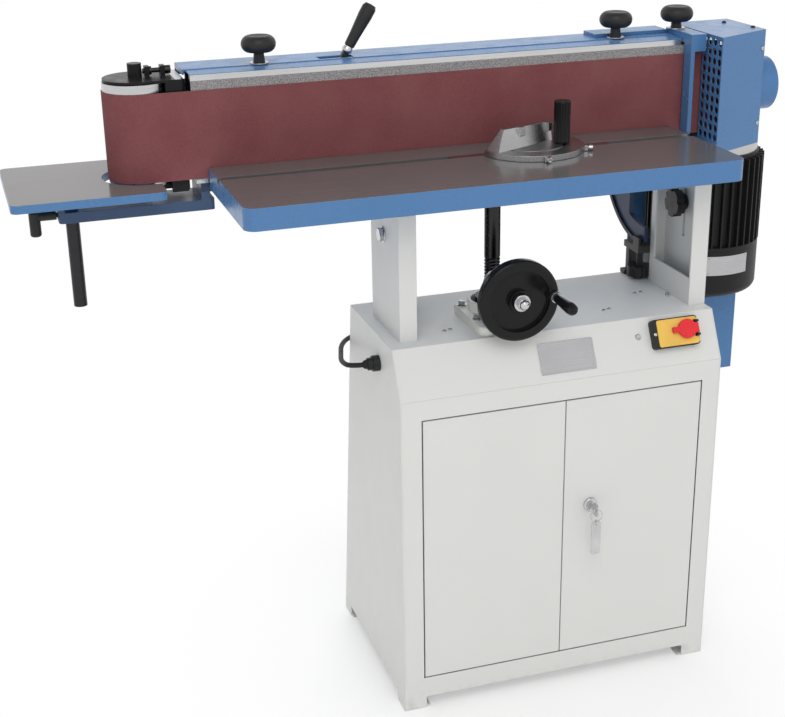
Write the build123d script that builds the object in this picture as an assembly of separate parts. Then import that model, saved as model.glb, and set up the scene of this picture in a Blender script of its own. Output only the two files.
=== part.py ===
from build123d import *
import math
import os

os.makedirs("parts", exist_ok=True)

# One frame for all pieces: millimetres, floor at z 0, X to the right, Y to the back, Z up.
# The origin is the middle of the cabinet's footprint.

# fits and clearances shared by mating pieces
run_fit = 0.05
press_fit = 0.02
slide_gap = 0.4
curve_gap = 0.3
sheet = 2.0

# sanding belt and drums
belt_w = 150.0
belt_t = 1.2
belt_low = 947.0
belt_front = 90.0
drum_r = 57.0
belt_in_r = drum_r + curve_gap
belt_out_r = belt_in_r + belt_t
drum_y = belt_front + belt_out_r
belt_top = belt_low + belt_w

# cabinet
half_w = 300.0
front_y = -194.0
back_low_y = 194.0
back_top_y = 93.0
deck_z = 687.0
slope_z = 606.0
slope_y = -152.0
tab_w = 40.0
tab_h = 22.0
anchor_in = 28.0
anchor_x = half_w - anchor_in
anchor_y = back_low_y - anchor_in
anchor_r = 5.5
foot_t = 3.0

# drum centres, counted from the cabinet's sides
idler_over = 348.0
drive_over = 140.0
idler_x = -half_w - idler_over
drive_x = half_w + drive_over

# doors
door_gap = 2.5
door_deep = 15.0
door_low = 64.5
door_top_in = 38.5
door_high = slope_z - door_top_in
left_door_in = 40.0
right_door_in = 37.0
door_meet = 1.0
door_split = 2.0
left_door_x0 = -half_w + left_door_in
left_door_x1 = door_meet
right_door_x0 = door_meet + door_split
right_door_x1 = half_w - right_door_in
hinge_in = 5.0
hinge_pin_r = 2.5
latch_x = 54.0
latch_z = 360.0
latch_r = 8.0
rosette_r = 13.0
key_t = 2.2

# columns and table locks
col_t = 4.0
col_y0 = -124.0
col_y1 = 31.0
col_top = 907.0
col_foot_h = 49.0
col_lip = 16.0
left_col_in = 24.0
left_col_wide = 31.0
right_col_wide = 32.0
col_left = -half_w + left_col_in
col_left_in = col_left + left_col_wide
col_right = half_w
col_right_in = half_w - right_col_wide
lock_y = -40.0
lock_z = 855.0
lock_r = 5.0
lock_knob_r = 25.0
lock_knob_t = 16.0
lock_stem = 11.0
slot_spare = 20.0
bracket_t = 6.6
bracket_y0 = -90.0
bracket_y1 = 10.0
bracket_low = 760.0

# main table
table_left_over = 244.0
table_right_over = 25.0
table_x0 = -half_w - table_left_over
table_x1 = half_w + table_right_over
stop_gap = 22.0
table_y0 = -194.0
table_y1 = 87.0
table_top = 965.0
table_h = 37.0
table_plate = 14.0
table_rim = 12.0
slot_y = 7.0
slot_w = 19.0
slot_d = 9.0
lift_up = 20.0
lift_down = 40.0

# lift drive
lift_x = -83.0
lift_y = -55.0
screw_r = 14.0
screw_low = 650.0
wheel_z = 757.0
wheel_r = 71.0
wheel_t = 22.0
wheel_y0 = -186.0
wheel_y1 = wheel_y0 + wheel_t
shaft_r = 8.0
crank_r = 60.5
crank_deg = 3.0
crank_pin_r = 4.0

# tilting head
tilt_y = 40.0
tilt_z = 925.0
arc_r = 170.0
rim_t = 8.0
rim_w = 16.0
web_t = 8.0
right_guide_in = 10.0
left_guide_in = 35.0
guide_x = (col_right_in - right_guide_in, col_left_in + left_guide_in)
guide_stud_y = 54.0
guide_stud_r = 5.0
base_left_in = 90.0
base_right_over = 60.0
base_x0 = idler_x + base_left_in
base_x1 = drive_x + base_right_over
base_y0 = 95.0
base_y1 = 190.0
base_z0 = 922.0
base_t = 16.0
base_top = base_z0 + base_t
head_top = 1122.0
pad_top = 1112.0
pad_t = 2.0
platen_t = 12.0
platen_left_in = 83.0
platen_right_in = 68.0
platen_x0 = idler_x + platen_left_in
platen_x1 = drive_x - platen_right_in
pad_y0 = belt_front + belt_t + slide_gap
platen_y0 = pad_y0 + pad_t
platen_y1 = platen_y0 + platen_t
frame_y0 = 180.0
frame_t = 8.0
rib_t = 12.0
knob_y = 140.0
stop_over = 10.0
stop_x = table_x1 + stop_gap + stop_over
knob_left_in = 212.0
knob_right_in = 124.0
cover_knob_x = (idler_x + knob_left_in, stop_x - knob_right_in)
knob_stud_r = 4.0
knob_stud_long = 40.0
knob_head_r = 30.0
knob_head_t = 27.0
knob_stem_r = 10.5
cover_t = 4.0
cover_top = head_top + cover_t
raised_h = 6.0

# belt tension
bar_y = 150.0
bar_z = 1060.0
bar_r = 9.0
lever_in = 348.0
lever_x = idler_x + lever_in
lever_z = 1098.0
lever_pin_r = 5.0
axle_r = 10.0
bearing_r = 24.0
cap_t = 4.2
cap_down = 5.4
cap_z = head_top - cap_down - cap_t

# motor
motor_r = 100.0
fin_r = 110.0
flange_h = 18.0
flange_r = 97.0
flange_flat = 94.0
motor_low = 722.0
cowl_low = 628.0
motor_shaft_r = 14.0
motor_bearing_r = 31.0
motor_bearing_h = 16.0
flange_z0 = base_z0 - flange_h

# dust hood
hood_left_in = 55.5
hood_clear = 6.5
hood_x0 = drive_x - hood_left_in
hood_x1 = drive_x + belt_out_r + hood_clear
hood_ya = 14.0
hood_yb = 70.0
hood_z0 = 922.0
hood_z1 = 1134.0
port_y = 120.0
port_z = 1025.0
port_r = 49.5
port_wall = 2.5
port_long = 36.0

# end table
end_over = 232.0
end_in = 22.0
end_x0 = idler_x - end_over
end_x1 = idler_x + end_in
end_y0 = 20.0
end_y1 = 285.0
end_top = 948.0
end_t = 14.0
notch_r = 70.0
post_over = 128.0
post_x = idler_x - post_over
post_y = 125.0
post_r = 11.5
arm_z0 = 890.0
arm_t = 18.0

# power lead
lead_r = 4.5
gland_r = 11.0

nodes = {}


def box(x0, x1, y0, y1, z0, z1):
    middle = Pos((x0 + x1) / 2, (y0 + y1) / 2, (z0 + z1) / 2)
    return middle * Box(x1 - x0, y1 - y0, z1 - z0)


def xrod(x0, x1, y, z, r):
    return Pos((x0 + x1) / 2, y, z) * Rot(0, 90, 0) * Cylinder(r, x1 - x0)


def yrod(x, y0, y1, z, r):
    return Pos(x, (y0 + y1) / 2, z) * Rot(90, 0, 0) * Cylinder(r, y1 - y0)


def zrod(x, y, z0, z1, r):
    return Pos(x, y, (z0 + z1) / 2) * Cylinder(r, z1 - z0)


def zring(x, y, z0, z1, r_in, r_out):
    return zrod(x, y, z0, z1, r_out) - zrod(x, y, z0 - 1, z1 + 1, r_in)


def plan(points, z0, z1):
    outline = make_face(Polyline(*points, close=True))
    return extrude(Plane.XY.offset(z0) * outline, z1 - z0)


def profile(points, x0, x1):
    outline = make_face(Polyline(*points, close=True))
    return extrude(Plane.YZ.offset(x0) * outline, x1 - x0)


def elevation(points, y0, y1):
    outline = make_face(Polyline(*points, close=True))
    return extrude(Plane.XZ.offset(-y0) * outline, -(y1 - y0))


def loop(r, z0, z1):
    ends = zrod(idler_x, drum_y, z0, z1, r) + zrod(drive_x, drum_y, z0, z1, r)
    return ends + box(idler_x, drive_x, drum_y - r, drum_y + r, z0, z1)


def arc_point(r, swing):
    turn = math.radians(swing)
    return (tilt_y + r * math.sin(turn), tilt_z - r * math.cos(turn))


def arc_band(r0, r1, swing0, swing1, x0, x1):
    # a ring sector round the tilt axis, swing counted from straight down towards the back
    middle = (swing0 + swing1) / 2
    outer = ThreePointArc(arc_point(r1, swing0), arc_point(r1, middle), arc_point(r1, swing1))
    inner = ThreePointArc(arc_point(r0, swing1), arc_point(r0, middle), arc_point(r0, swing0))
    side_a = Line(arc_point(r1, swing1), arc_point(r0, swing1))
    side_b = Line(arc_point(r0, swing0), arc_point(r1, swing0))
    return extrude(Plane.YZ.offset(x0) * make_face([outer, side_a, inner, side_b]), x1 - x0)


def slot_cut(x0, x1, y, z0, z1, half):
    ends = xrod(x0, x1, y, z0 + half, half) + xrod(x0, x1, y, z1 - half, half)
    return ends + box(x0, x1, y - half, y + half, z0 + half, z1 - half)


def back_y(z):
    return back_low_y - (back_low_y - back_top_y) * z / deck_z


def lobed(x, y, z0, z1, r, lobes):
    knob = zrod(x, y, z0, z1, r)
    bite = r * 0.22
    for n in range(lobes):
        turn = math.radians(360 * (n + 0.5) / lobes)
        away = r * 1.06
        knob -= zrod(x + away * math.cos(turn), y + away * math.sin(turn), z0 - 1, z1 + 1, bite)
    return knob


def mushroom(x, y, z0, head_z0, head_z1):
    head_r = knob_head_r
    stem_r = knob_stem_r
    high = head_z1 - head_z0
    low = (head_r * 0.72, head_z0)
    outer = (head_r, head_z0 + high * 0.48)
    upper = (head_r * 0.66, head_z1)
    below = [
        upper,
        (head_r * 0.40, head_z1 - 0.8),
        (0, head_z1 - 1.6),
        (0, stud_low),
        (knob_stud_r, stud_low),
        (knob_stud_r, z0),
        (stem_r, z0),
        (stem_r * 0.85, head_z0 - 3),
        (stem_r * 1.2, head_z0),
        low,
    ]
    outline = make_face([Polyline(*below), ThreePointArc(low, outer, upper)])
    return Pos(x, y, 0) * revolve(Plane.XZ * outline, Axis.Z)


# cabinet sides with corner tabs and foot flanges that take the floor anchors
side_points = [
    (front_y, 0),
    (front_y + tab_w, 0),
    (front_y + tab_w, tab_h),
    (back_low_y - tab_w, tab_h),
    (back_low_y - tab_w, 0),
    (back_low_y, 0),
    (back_top_y, deck_z),
    (slope_y, deck_z),
    (front_y, slope_z),
]
lead_y = -77.0
lead_z = 637.0
sides = []
for sign in (-1, 1):
    x_out = sign * half_w
    x_in = sign * (half_w - sheet)
    panel = profile(side_points, min(x_out, x_in), max(x_out, x_in))
    if sign < 0:
        panel -= xrod(-half_w - 1, -half_w + sheet + 1, lead_y, lead_z, gland_r + run_fit)
    for end in (-1, 1):
        hx = sign * anchor_x
        hy = end * anchor_y
        fx = sign * (half_w - sheet - 48)
        edge = front_y + sheet if end < 0 else back_low_y - 4
        fy = end * (anchor_y - 20)
        flange = box(min(x_in, fx), max(x_in, fx), min(edge, fy), max(edge, fy), 0, foot_t)
        panel += flange - zrod(hx, hy, -1, foot_t + 1, anchor_r)
    sides.append(panel)
nodes["cabinet_sides"] = Compound(children=sides)

# back panel, leaning forward towards the top
wide = half_w - sheet
lean = math.hypot(1, (back_low_y - back_top_y) / deck_z)
skin = sheet * lean
back_high = deck_z - sheet
back_points = [
    (back_y(tab_h), tab_h),
    (back_y(back_high), back_high),
    (back_y(back_high) - skin, back_high),
    (back_y(tab_h) - skin, tab_h),
]
exit_x = -196.0
exit_z = 606.0
back_panel = profile(back_points, -wide, wide)
back_panel -= yrod(exit_x, back_y(exit_z) - 20, back_y(exit_z) + 20, exit_z, gland_r + run_fit)
nodes["cabinet_back"] = back_panel

# front frame round the two doors
open_x0 = left_door_x0 - door_gap
open_x1 = right_door_x1 + door_gap
open_z0 = door_low - door_gap
open_z1 = door_high + door_gap
frame_points = [
    (-wide, 0),
    (-wide + tab_w, 0),
    (-wide + tab_w, tab_h),
    (wide - tab_w, tab_h),
    (wide - tab_w, 0),
    (wide, 0),
    (wide, slope_z),
    (-wide, slope_z),
]
front_frame = elevation(frame_points, front_y, front_y + sheet)
front_frame -= box(open_x0, open_x1, front_y - 1, front_y + sheet + 1, open_z0, open_z1)
nodes["cabinet_front_frame"] = front_frame

# sloped control panel and deck, one folded sheet
rise = deck_z - slope_z
run = slope_y - front_y
slant = math.hypot(rise, run)
in_y = front_y + sheet * slant / rise
fold_y = in_y + run * (rise - sheet) / rise
deck_points = [
    (front_y, slope_z),
    (slope_y, deck_z),
    (back_top_y, deck_z),
    (back_y(deck_z - sheet), deck_z - sheet),
    (fold_y, deck_z - sheet),
    (in_y, slope_z),
]
deck = profile(deck_points, -wide, wide)
deck -= zrod(lift_x, lift_y, deck_z - sheet - 1, deck_z + 1, screw_r + 1)
nodes["cabinet_deck"] = deck
floor_back = back_y(tab_h + 4) - skin - 0.5
nodes["cabinet_floor"] = box(-wide, wide, front_y + sheet, floor_back, tab_h + 2, tab_h + 4)


# doors with folded edges, hung on pins
def door(x0, x1):
    inner_y = front_y + sheet
    skin_box = box(x0, x1, front_y, inner_y + door_deep, door_low, door_high)
    tray = box(x0 + sheet, x1 - sheet, inner_y, inner_y + door_deep + 1, door_low + sheet, door_high - sheet)
    return skin_box - tray


pin_y = front_y + hinge_in
left_pin_x = left_door_x0 + hinge_in + 1
right_pin_x = right_door_x1 - hinge_in - 1
left_door = door(left_door_x0, left_door_x1)
left_door -= zrod(left_pin_x, pin_y, door_low - 1, door_high + 1, hinge_pin_r + run_fit)
nodes["left_door"] = left_door
right_door = door(right_door_x0, right_door_x1)
right_door -= zrod(right_pin_x, pin_y, door_low - 1, door_high + 1, hinge_pin_r + run_fit)
right_door -= yrod(latch_x, front_y - 1, front_y + sheet + 1, latch_z, latch_r + run_fit)
nodes["right_door"] = right_door

hinges = []
for px, toward in ((left_pin_x, -1), (right_pin_x, 1)):
    for level, up in ((open_z1, 1), (open_z0, -1)):
        far = px + toward * 24
        near = px - toward * 8
        z_in = level + up * 2.5
        z_out = level + up * 5.5
        leaf_y = front_y + sheet
        leaf = box(min(far, near), max(far, near), leaf_y, leaf_y + 14, min(z_in, z_out), max(z_in, z_out))
        tip = level - up * 12
        leaf += zrod(px, pin_y, min(tip, z_out), max(tip, z_out), hinge_pin_r)
        hinges.append(leaf)
nodes["door_hinges"] = Compound(children=hinges)

# quarter turn key lock: rosette and key outside, barrel through the door, tongue behind the folded edges
tongue_y = front_y + sheet + door_deep + 1
rosette_y0 = front_y - slide_gap - 5
key_y0 = rosette_y0 - 8
bow_y0 = key_y0 - 21
latch = yrod(latch_x, rosette_y0, front_y - slide_gap, latch_z, rosette_r)
latch = fillet(latch.edges().filter_by(lambda e: abs(e.center().Y - rosette_y0) < 0.01), 3)
latch += yrod(latch_x, rosette_y0 - 2, tongue_y + 4, latch_z, latch_r)
latch += box(latch_x - key_t / 2, latch_x + key_t / 2, key_y0 - 1, rosette_y0, latch_z - 4, latch_z + 4)
bow = box(latch_x - key_t / 2, latch_x + key_t / 2, bow_y0, key_y0, latch_z - 12, latch_z + 12)
bow = fillet(bow.edges().filter_by(Axis.X), 8)
latch += bow - xrod(latch_x - key_t, latch_x + key_t, bow_y0 + 6, latch_z, 3)
latch += box(latch_x - 8, latch_x + 8, tongue_y, tongue_y + 4, latch_z - 62, latch_z + 8)
nodes["door_latch"] = latch

# table columns, two channels: the left holds a fixed lock stud, the right has a slot for its stud
slot_half = lock_r + slide_gap
slot_z0 = lock_z - lift_down - slot_half - slot_spare
slot_z1 = lock_z + lift_up + slot_half + 1
left_web = col_left + col_t
right_web = col_right - col_t
left_col = box(col_left, col_left_in, col_y0, col_y1, deck_z, col_top)
left_col -= box(left_web, col_left_in + 1, col_y0 + col_t, col_y1 - col_t, deck_z - 1, col_top + 1)
left_col -= xrod(col_left - 1, left_web + 1, lock_y, lock_z, lock_r + run_fit)
right_col = box(col_right_in, col_right, col_y0, col_y1, deck_z, col_top)
right_col -= box(col_right_in - 1, right_web, col_y0 + col_t, col_y1 - col_t, deck_z - 1, col_top + 1)
right_col += box(col_right_in, col_right_in + col_t, col_y1 - col_lip, col_y1, deck_z, col_top)
right_col += box(col_right_in, col_right_in + col_t, col_y0, col_y1, deck_z, deck_z + col_foot_h)
right_col -= slot_cut(right_web - 1, col_right + 1, lock_y, slot_z0, slot_z1, slot_half)
nodes["columns"] = Compound(children=[left_col, right_col])

# lift gearbox on the deck: flange, open cup round the nut, pillar for the handwheel shaft
flange_t = 16.0
gear_half = 55.0
gear_y0 = -146.0
gear_y1 = -2.0
floor_z = deck_z + flange_t
cup_r = 43.0
cup_wall = 6.0
cup_top = floor_z + 19
pillar_half = 18.0
pillar_y1 = gear_y0 + 44
pinion_long = 10.0
nut_wheel_r = 30.0
nut_wheel_t = 14.0
nut_wheel_z0 = floor_z + 11
nut_wheel_z1 = nut_wheel_z0 + nut_wheel_t
nut_top = nut_wheel_z1 + 18
pinion_r = wheel_z - nut_wheel_z1 - slide_gap
pinion_y1 = lift_y - nut_wheel_r + 2
pinion_y0 = pinion_y1 - pinion_long
gearbox = box(lift_x - gear_half, lift_x + gear_half, gear_y0, gear_y1, deck_z, floor_z)
gearbox = fillet(gearbox.edges().filter_by(Axis.Z), 14)
gearbox += zring(lift_x, lift_y, floor_z, cup_top, cup_r - cup_wall, cup_r)
gearbox += box(lift_x - pillar_half, lift_x + pillar_half, gear_y0, pillar_y1, floor_z, wheel_z)
gearbox += yrod(lift_x, gear_y0 - 6, pillar_y1, wheel_z, pillar_half)
gearbox -= yrod(lift_x, gear_y0 - 20, pillar_y1 + 1, wheel_z, shaft_r + run_fit)
gearbox -= zrod(lift_x, lift_y, deck_z - 1, floor_z + 1, screw_r + 1)
nodes["gearbox_housing"] = gearbox

# nut with its bevel wheel, turned by the handwheel through a bevel pinion
nut_half = [
    (0, floor_z + slide_gap),
    (24, floor_z + slide_gap),
    (24, nut_wheel_z0),
    (nut_wheel_r, nut_wheel_z0),
    (nut_wheel_r, nut_wheel_z1),
    (22, nut_wheel_z1),
    (screw_r + 3, nut_top),
    (0, nut_top),
]
nut = Pos(lift_x, lift_y, 0) * revolve(Plane.XZ * make_face(Polyline(*nut_half, close=True)), Axis.Z)
nut -= zrod(lift_x, lift_y, floor_z - 1, nut_top + 1, screw_r + run_fit)
nodes["lift_nut"] = nut

hand_shaft = yrod(lift_x, wheel_y0 - 6, pinion_y1, wheel_z, shaft_r)
hand_shaft += yrod(lift_x, pinion_y0, pinion_y1, wheel_z, pinion_r)
hand_shaft += yrod(lift_x, wheel_y0 - 7, wheel_y0, wheel_z, 12)
nodes["handwheel_shaft"] = hand_shaft

crank_turn = math.radians(crank_deg)
crank_x = lift_x + crank_r * math.cos(crank_turn)
crank_z = wheel_z + crank_r * math.sin(crank_turn)
wheel = yrod(lift_x, wheel_y0, wheel_y1, wheel_z, wheel_r)
wheel -= yrod(lift_x, wheel_y0 - 1, wheel_y0 + 9, wheel_z, wheel_r - 17)
wheel -= yrod(lift_x, wheel_y1 - 6, wheel_y1 + 1, wheel_z, wheel_r - 17)
wheel += yrod(lift_x, wheel_y0, wheel_y1, wheel_z, 19)
wheel -= yrod(lift_x, wheel_y0 - 1, wheel_y1 + 1, wheel_z, shaft_r + press_fit)
wheel -= yrod(crank_x, wheel_y0 - 1, wheel_y1 + 1, crank_z, crank_pin_r + run_fit)
round_edges = wheel.edges().filter_by(GeomType.CIRCLE)
wheel = fillet(round_edges.filter_by(lambda e: abs(e.radius - wheel_r) < 0.01), 6)
nodes["handwheel"] = wheel

grip_y1 = wheel_y0 - 2
grip_half = [
    (0, 0), (6.5, 0), (7.5, 15), (9, 42), (10.5, 64), (9.5, 74), (6, 80), (0, 82),
]
grip_face = make_face(Polyline(*grip_half, close=True))
grip = Pos(crank_x, grip_y1, crank_z) * Rot(90, 0, 0) * revolve(Plane.XZ * grip_face, Axis.Z)
grip += yrod(crank_x, grip_y1 - 1, wheel_y1 - 2, crank_z, crank_pin_r)
nodes["crank_handle"] = grip

# main table, hollow underneath, with a mitre slot along its length
table_low = table_top - table_h
plate_low = table_top - table_plate
table = box(table_x0, table_x1, table_y0, table_y1, table_low, table_top)
corner_edges = [e for e in table.edges().filter_by(Axis.Z) if e.center().Y < 0]
table = fillet(corner_edges, 20)
inner_x0 = table_x0 + table_rim
inner_x1 = table_x1 - table_rim
table -= box(inner_x0, inner_x1, table_y0 + table_rim, table_y1 - table_rim, table_low - 1, plate_low)
slot_y0 = slot_y - slot_w / 2
slot_y1 = slot_y + slot_w / 2
table -= box(table_x0 - 1, table_x1 + 1, slot_y0, slot_y1, table_top - slot_d, table_top + 1)
nodes["table"] = table

# bracket plates under the table: the left slides inside its channel, the right outside its column
left_in = left_web + slide_gap
left_out = left_in + bracket_t
left_bracket = box(left_in, left_out, bracket_y0, bracket_y1, bracket_low, plate_low)
left_slot_z0 = lock_z - lift_up - slot_half - 1
left_slot_z1 = lock_z + lift_down + slot_half + 1
left_bracket -= slot_cut(left_in - 1, left_out + 1, lock_y, left_slot_z0, left_slot_z1, slot_half)
right_in = col_right + slide_gap
right_out = right_in + bracket_t
right_bracket = box(right_in, right_out, bracket_y0, bracket_y1, bracket_low, plate_low)
right_bracket -= xrod(right_in - 1, right_out + 1, lock_y, lock_z, lock_r + run_fit)
nodes["table_brackets"] = Compound(children=[left_bracket, right_bracket])

leadscrew = zrod(lift_x, lift_y, screw_low, plate_low, screw_r)
leadscrew += zrod(lift_x, lift_y, plate_low - 9, plate_low, screw_r + 11)
nodes["leadscrew"] = leadscrew


# table lock knobs: lobed knob, stem and washer on one side, stud, nut on the other side
def lock_knob(washer, toward, nut):
    knob_in = washer + toward * lock_stem
    knob_out = knob_in + toward * lock_knob_t
    lobes = Rot(0, 90, 0) * lobed(0, 0, -lock_knob_t / 2, lock_knob_t / 2, lock_knob_r, 5)
    knob = Pos((knob_in + knob_out) / 2, lock_y, lock_z) * lobes
    stem_end = washer + toward * 4
    knob += xrod(min(stem_end, knob_in + toward), max(stem_end, knob_in + toward), lock_y, lock_z, 9)
    knob += xrod(min(washer, stem_end), max(washer, stem_end), lock_y, lock_z, 14)
    nut_out = nut - toward * 7
    knob += xrod(min(nut_out, stem_end), max(nut_out, stem_end), lock_y, lock_z, lock_r)
    knob += xrod(min(nut, nut_out), max(nut, nut_out), lock_y, lock_z, 9)
    return knob


nodes["left_lock_knob"] = lock_knob(left_out + slide_gap, 1, col_left - slide_gap)
nodes["right_lock_knob"] = lock_knob(right_web - slide_gap, -1, right_out + slide_gap)

# guides on the deck that carry the tilting head's curved rails
cheek_w = 4.5
lip_gap = 1.5
arc_low = tilt_z - arc_r
cheek_low = arc_low - 8
cheek_top = arc_low + rim_t + 7
cheek_y0 = tilt_y - 6
cheek_y1 = tilt_y + 17
post_y0 = guide_stud_y + 27
post_y1 = post_y0 + 12
block_z0 = arc_low - 15
block_z1 = arc_low - 3
seat_z1 = arc_low + 3
lip_swing = 5.5
guides = []
guide_knobs = []
for gx in guide_x:
    half = rim_w / 2
    inside = half + slide_gap
    outside = inside + cheek_w
    guide = box(gx - outside, gx + outside, cheek_y0, post_y1, block_z0, block_z1)
    guide += box(gx - outside, gx + outside, cheek_y0, cheek_y1, block_z0, seat_z1)
    guide += box(gx - half, gx + half, post_y0, post_y1, deck_z + 8, block_z1)
    guide += box(gx - outside - 4, gx + outside + 4, post_y0 - 2, post_y1 + 4, deck_z, deck_z + 8)
    for side in (-1, 1):
        near = gx + side * inside
        far = gx + side * outside
        cheek = box(min(near, far), max(near, far), cheek_y0, cheek_y1, cheek_low, cheek_top)
        lip_in = gx + side * (web_t / 2 + lip_gap)
        lip_r = arc_r - rim_t - slide_gap
        lip = arc_band(lip_r - 6, lip_r, -1, lip_swing, min(lip_in, near), max(lip_in, near))
        guide += cheek + lip
    clear = xrod(gx - inside, gx + inside, tilt_y, tilt_z, arc_r + slide_gap)
    keep = arc_band(lip_r - 7, lip_r, -2, lip_swing + 1, gx - inside, gx + inside)
    guide -= clear - keep
    guide -= zrod(gx, guide_stud_y, deck_z + 20, cheek_top, guide_stud_r + run_fit)
    guides.append(guide)
    knob = lobed(gx, guide_stud_y, deck_z + 5, deck_z + 25, 22, 6)
    stud_top = tilt_z - math.sqrt(arc_r**2 - (guide_stud_y - tilt_y) ** 2) - 0.6
    knob += zrod(gx, guide_stud_y, deck_z + 24, stud_top, guide_stud_r)
    guide_knobs.append(knob)
nodes["trunnion_guides"] = Compound(children=guides)
nodes["trunnion_knob_right"] = guide_knobs[0]
nodes["trunnion_knob_left"] = guide_knobs[1]

# curved rails under the head
rails = []
for gx in guide_x:
    rail = arc_band(arc_r - rim_t, arc_r, -4, 94, gx - rim_w / 2, gx + rim_w / 2)
    rail += arc_band(arc_r - rim_t - 28, arc_r - rim_t + 1, -4, 94, gx - web_t / 2, gx + web_t / 2)
    panel = box(gx - web_t / 2, gx + web_t / 2, base_y0, base_y1, tilt_z - arc_r, base_z0)
    rail += panel & xrod(gx - 20, gx + 20, tilt_y, tilt_z, arc_r - rim_t + 1)
    rail -= box(gx - 30, gx + 30, 0, base_y1 + slide_gap, base_z0, base_z0 + 40)
    rails.append(rail)
nodes["trunnions"] = Compound(children=rails)

# head: base, platen, graphite pad, rear frame with ribs
base = box(base_x0, base_x1, base_y0, base_y1, base_z0, base_top)
base -= zrod(drive_x, drum_y, base_z0 - 1, base_top + 1, motor_shaft_r + 4)
nodes["head_base"] = base
nodes["platen"] = box(platen_x0, platen_x1, platen_y0, platen_y1, base_top, head_top)
nodes["graphite_pad"] = box(platen_x0, platen_x1, pad_y0, platen_y0, belt_low - 2, pad_top)

stud_low = head_top - knob_stud_long
rib_x = (base_x0 + 12, cover_knob_x[0], -154.0, 106.0, cover_knob_x[1], stop_x)
frame = box(base_x0, platen_x1, frame_y0, frame_y0 + frame_t, base_top, head_top)
for rx in rib_x:
    frame += box(rx - rib_t / 2, rx + rib_t / 2, platen_y1, frame_y0, base_top, head_top)
for rx in (*cover_knob_x, stop_x):
    frame -= zrod(rx, knob_y, stud_low - 4, head_top + 1, knob_stud_r + run_fit)
frame -= xrod(rib_x[0] - 20, rib_x[1] + 20, bar_y, bar_z, bar_r + run_fit)
frame += yrod(lever_x, bar_y - 22, frame_y0 + 1, lever_z, lever_pin_r)
nodes["head_frame"] = frame

# top cover: a front strip that slopes down to the platen, a flat top, a lip behind and an end lip
cover_x0 = platen_x0 - 6
cover_x1 = stop_x - 11
strip_y0 = platen_y0
strip_t = 0.8
cover_y0 = 131.0
cover_y1 = 206.0
cover_lip = 3.0
end_lip_z = head_top - cap_down + slide_gap
cover_points = [
    (strip_y0, head_top),
    (strip_y0, head_top + strip_t),
    (cover_y0, cover_top - 1.2),
    (cover_y0, cover_top),
    (cover_y1, cover_top),
    (cover_y1, head_top - 16),
    (cover_y1 - cover_lip, head_top - 16),
    (cover_y1 - cover_lip, head_top),
]
cover = profile(cover_points, cover_x0, cover_x1)
cover += box(cover_x0, cover_x0 + cover_lip, cover_y0, cover_y1, end_lip_z, cover_top)
cover -= box(cover_x0 - 1, platen_x0, strip_y0 - 1, cover_y0, head_top - 1, cover_top + 1)
for kx in cover_knob_x:
    cover -= zrod(kx, knob_y, head_top - 1, cover_top + 1, knob_stud_r + slide_gap)
cover -= box(lever_x - 30, lever_x + 32, bar_y - 12, bar_y + 12, head_top - 1, cover_top + 1)
nodes["top_cover"] = cover
raised_x0 = stop_x - 158
raised_y0 = 154.0
raised_y1 = cover_y1 - 2
raised_top = cover_top + raised_h
raised = box(raised_x0, cover_x1, raised_y0, raised_y1, cover_top, raised_top)
under_x0 = raised_x0 + sheet
under_x1 = cover_x1 - sheet
raised -= box(under_x0, under_x1, raised_y0 + sheet, raised_y1 - sheet, cover_top - 1, raised_top - sheet)
nodes["drive_cover"] = raised

knob_head_z0 = cover_top + 20
knob_head_z1 = knob_head_z0 + knob_head_t
for kx, name in zip(cover_knob_x, ("cover_knob_left", "cover_knob_right")):
    nodes[name] = mushroom(kx, knob_y, cover_top + slide_gap, knob_head_z0, knob_head_z1)

# work stop: blue bracket with a leg before the belt, clamped by the third knob, sliding to the front
stop_t = 4.0
stop_side = 5.0
stop_x0 = stop_x - stop_over
stop_x1 = stop_x + 20
stop_y0 = 60.0
leg_y1 = belt_front - 4
stop_y1 = 160.0
stop_top = head_top + 13
stop_low = head_top - 4
lintel_low = belt_top + 7
leg_low = belt_low + 9
foot_z = head_top + slide_gap
foot_x1 = stop_x + 7
stop_travel = 10.0
stop = box(stop_x0, stop_x1, stop_y0, stop_y1, stop_top - stop_t, stop_top)
stop += box(stop_x0, stop_x0 + stop_side, stop_y0, stop_y1, foot_z, stop_top)
stop += box(stop_x0, stop_x0 + stop_side, stop_y0, platen_y0 - 1, stop_low, stop_top)
stop += box(stop_x0, stop_x0 + stop_side, stop_y0, leg_y1, leg_low, stop_top)
stop += box(stop_x0, stop_x0 + stop_side + 3, stop_y0, stop_y0 + stop_t, leg_low, stop_top)
stop += box(stop_x0, stop_x1, stop_y0, stop_y0 + stop_t, lintel_low, stop_top)
stop += box(stop_x0, foot_x1, platen_y1 + 4, stop_y1, foot_z, stop_top)
slot_in = knob_stud_r + slide_gap
for part_y in (knob_y, knob_y + stop_travel):
    stop -= zrod(stop_x, part_y, foot_z - 1, stop_top + 1, slot_in)
stop -= box(stop_x - slot_in, stop_x + slot_in, knob_y, knob_y + stop_travel, foot_z - 1, stop_top + 1)
nodes["work_stop"] = stop
nodes["stop_knob"] = mushroom(stop_x, knob_y, stop_top + slide_gap, knob_head_z0 + 3, knob_head_z1 + 3)

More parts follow.
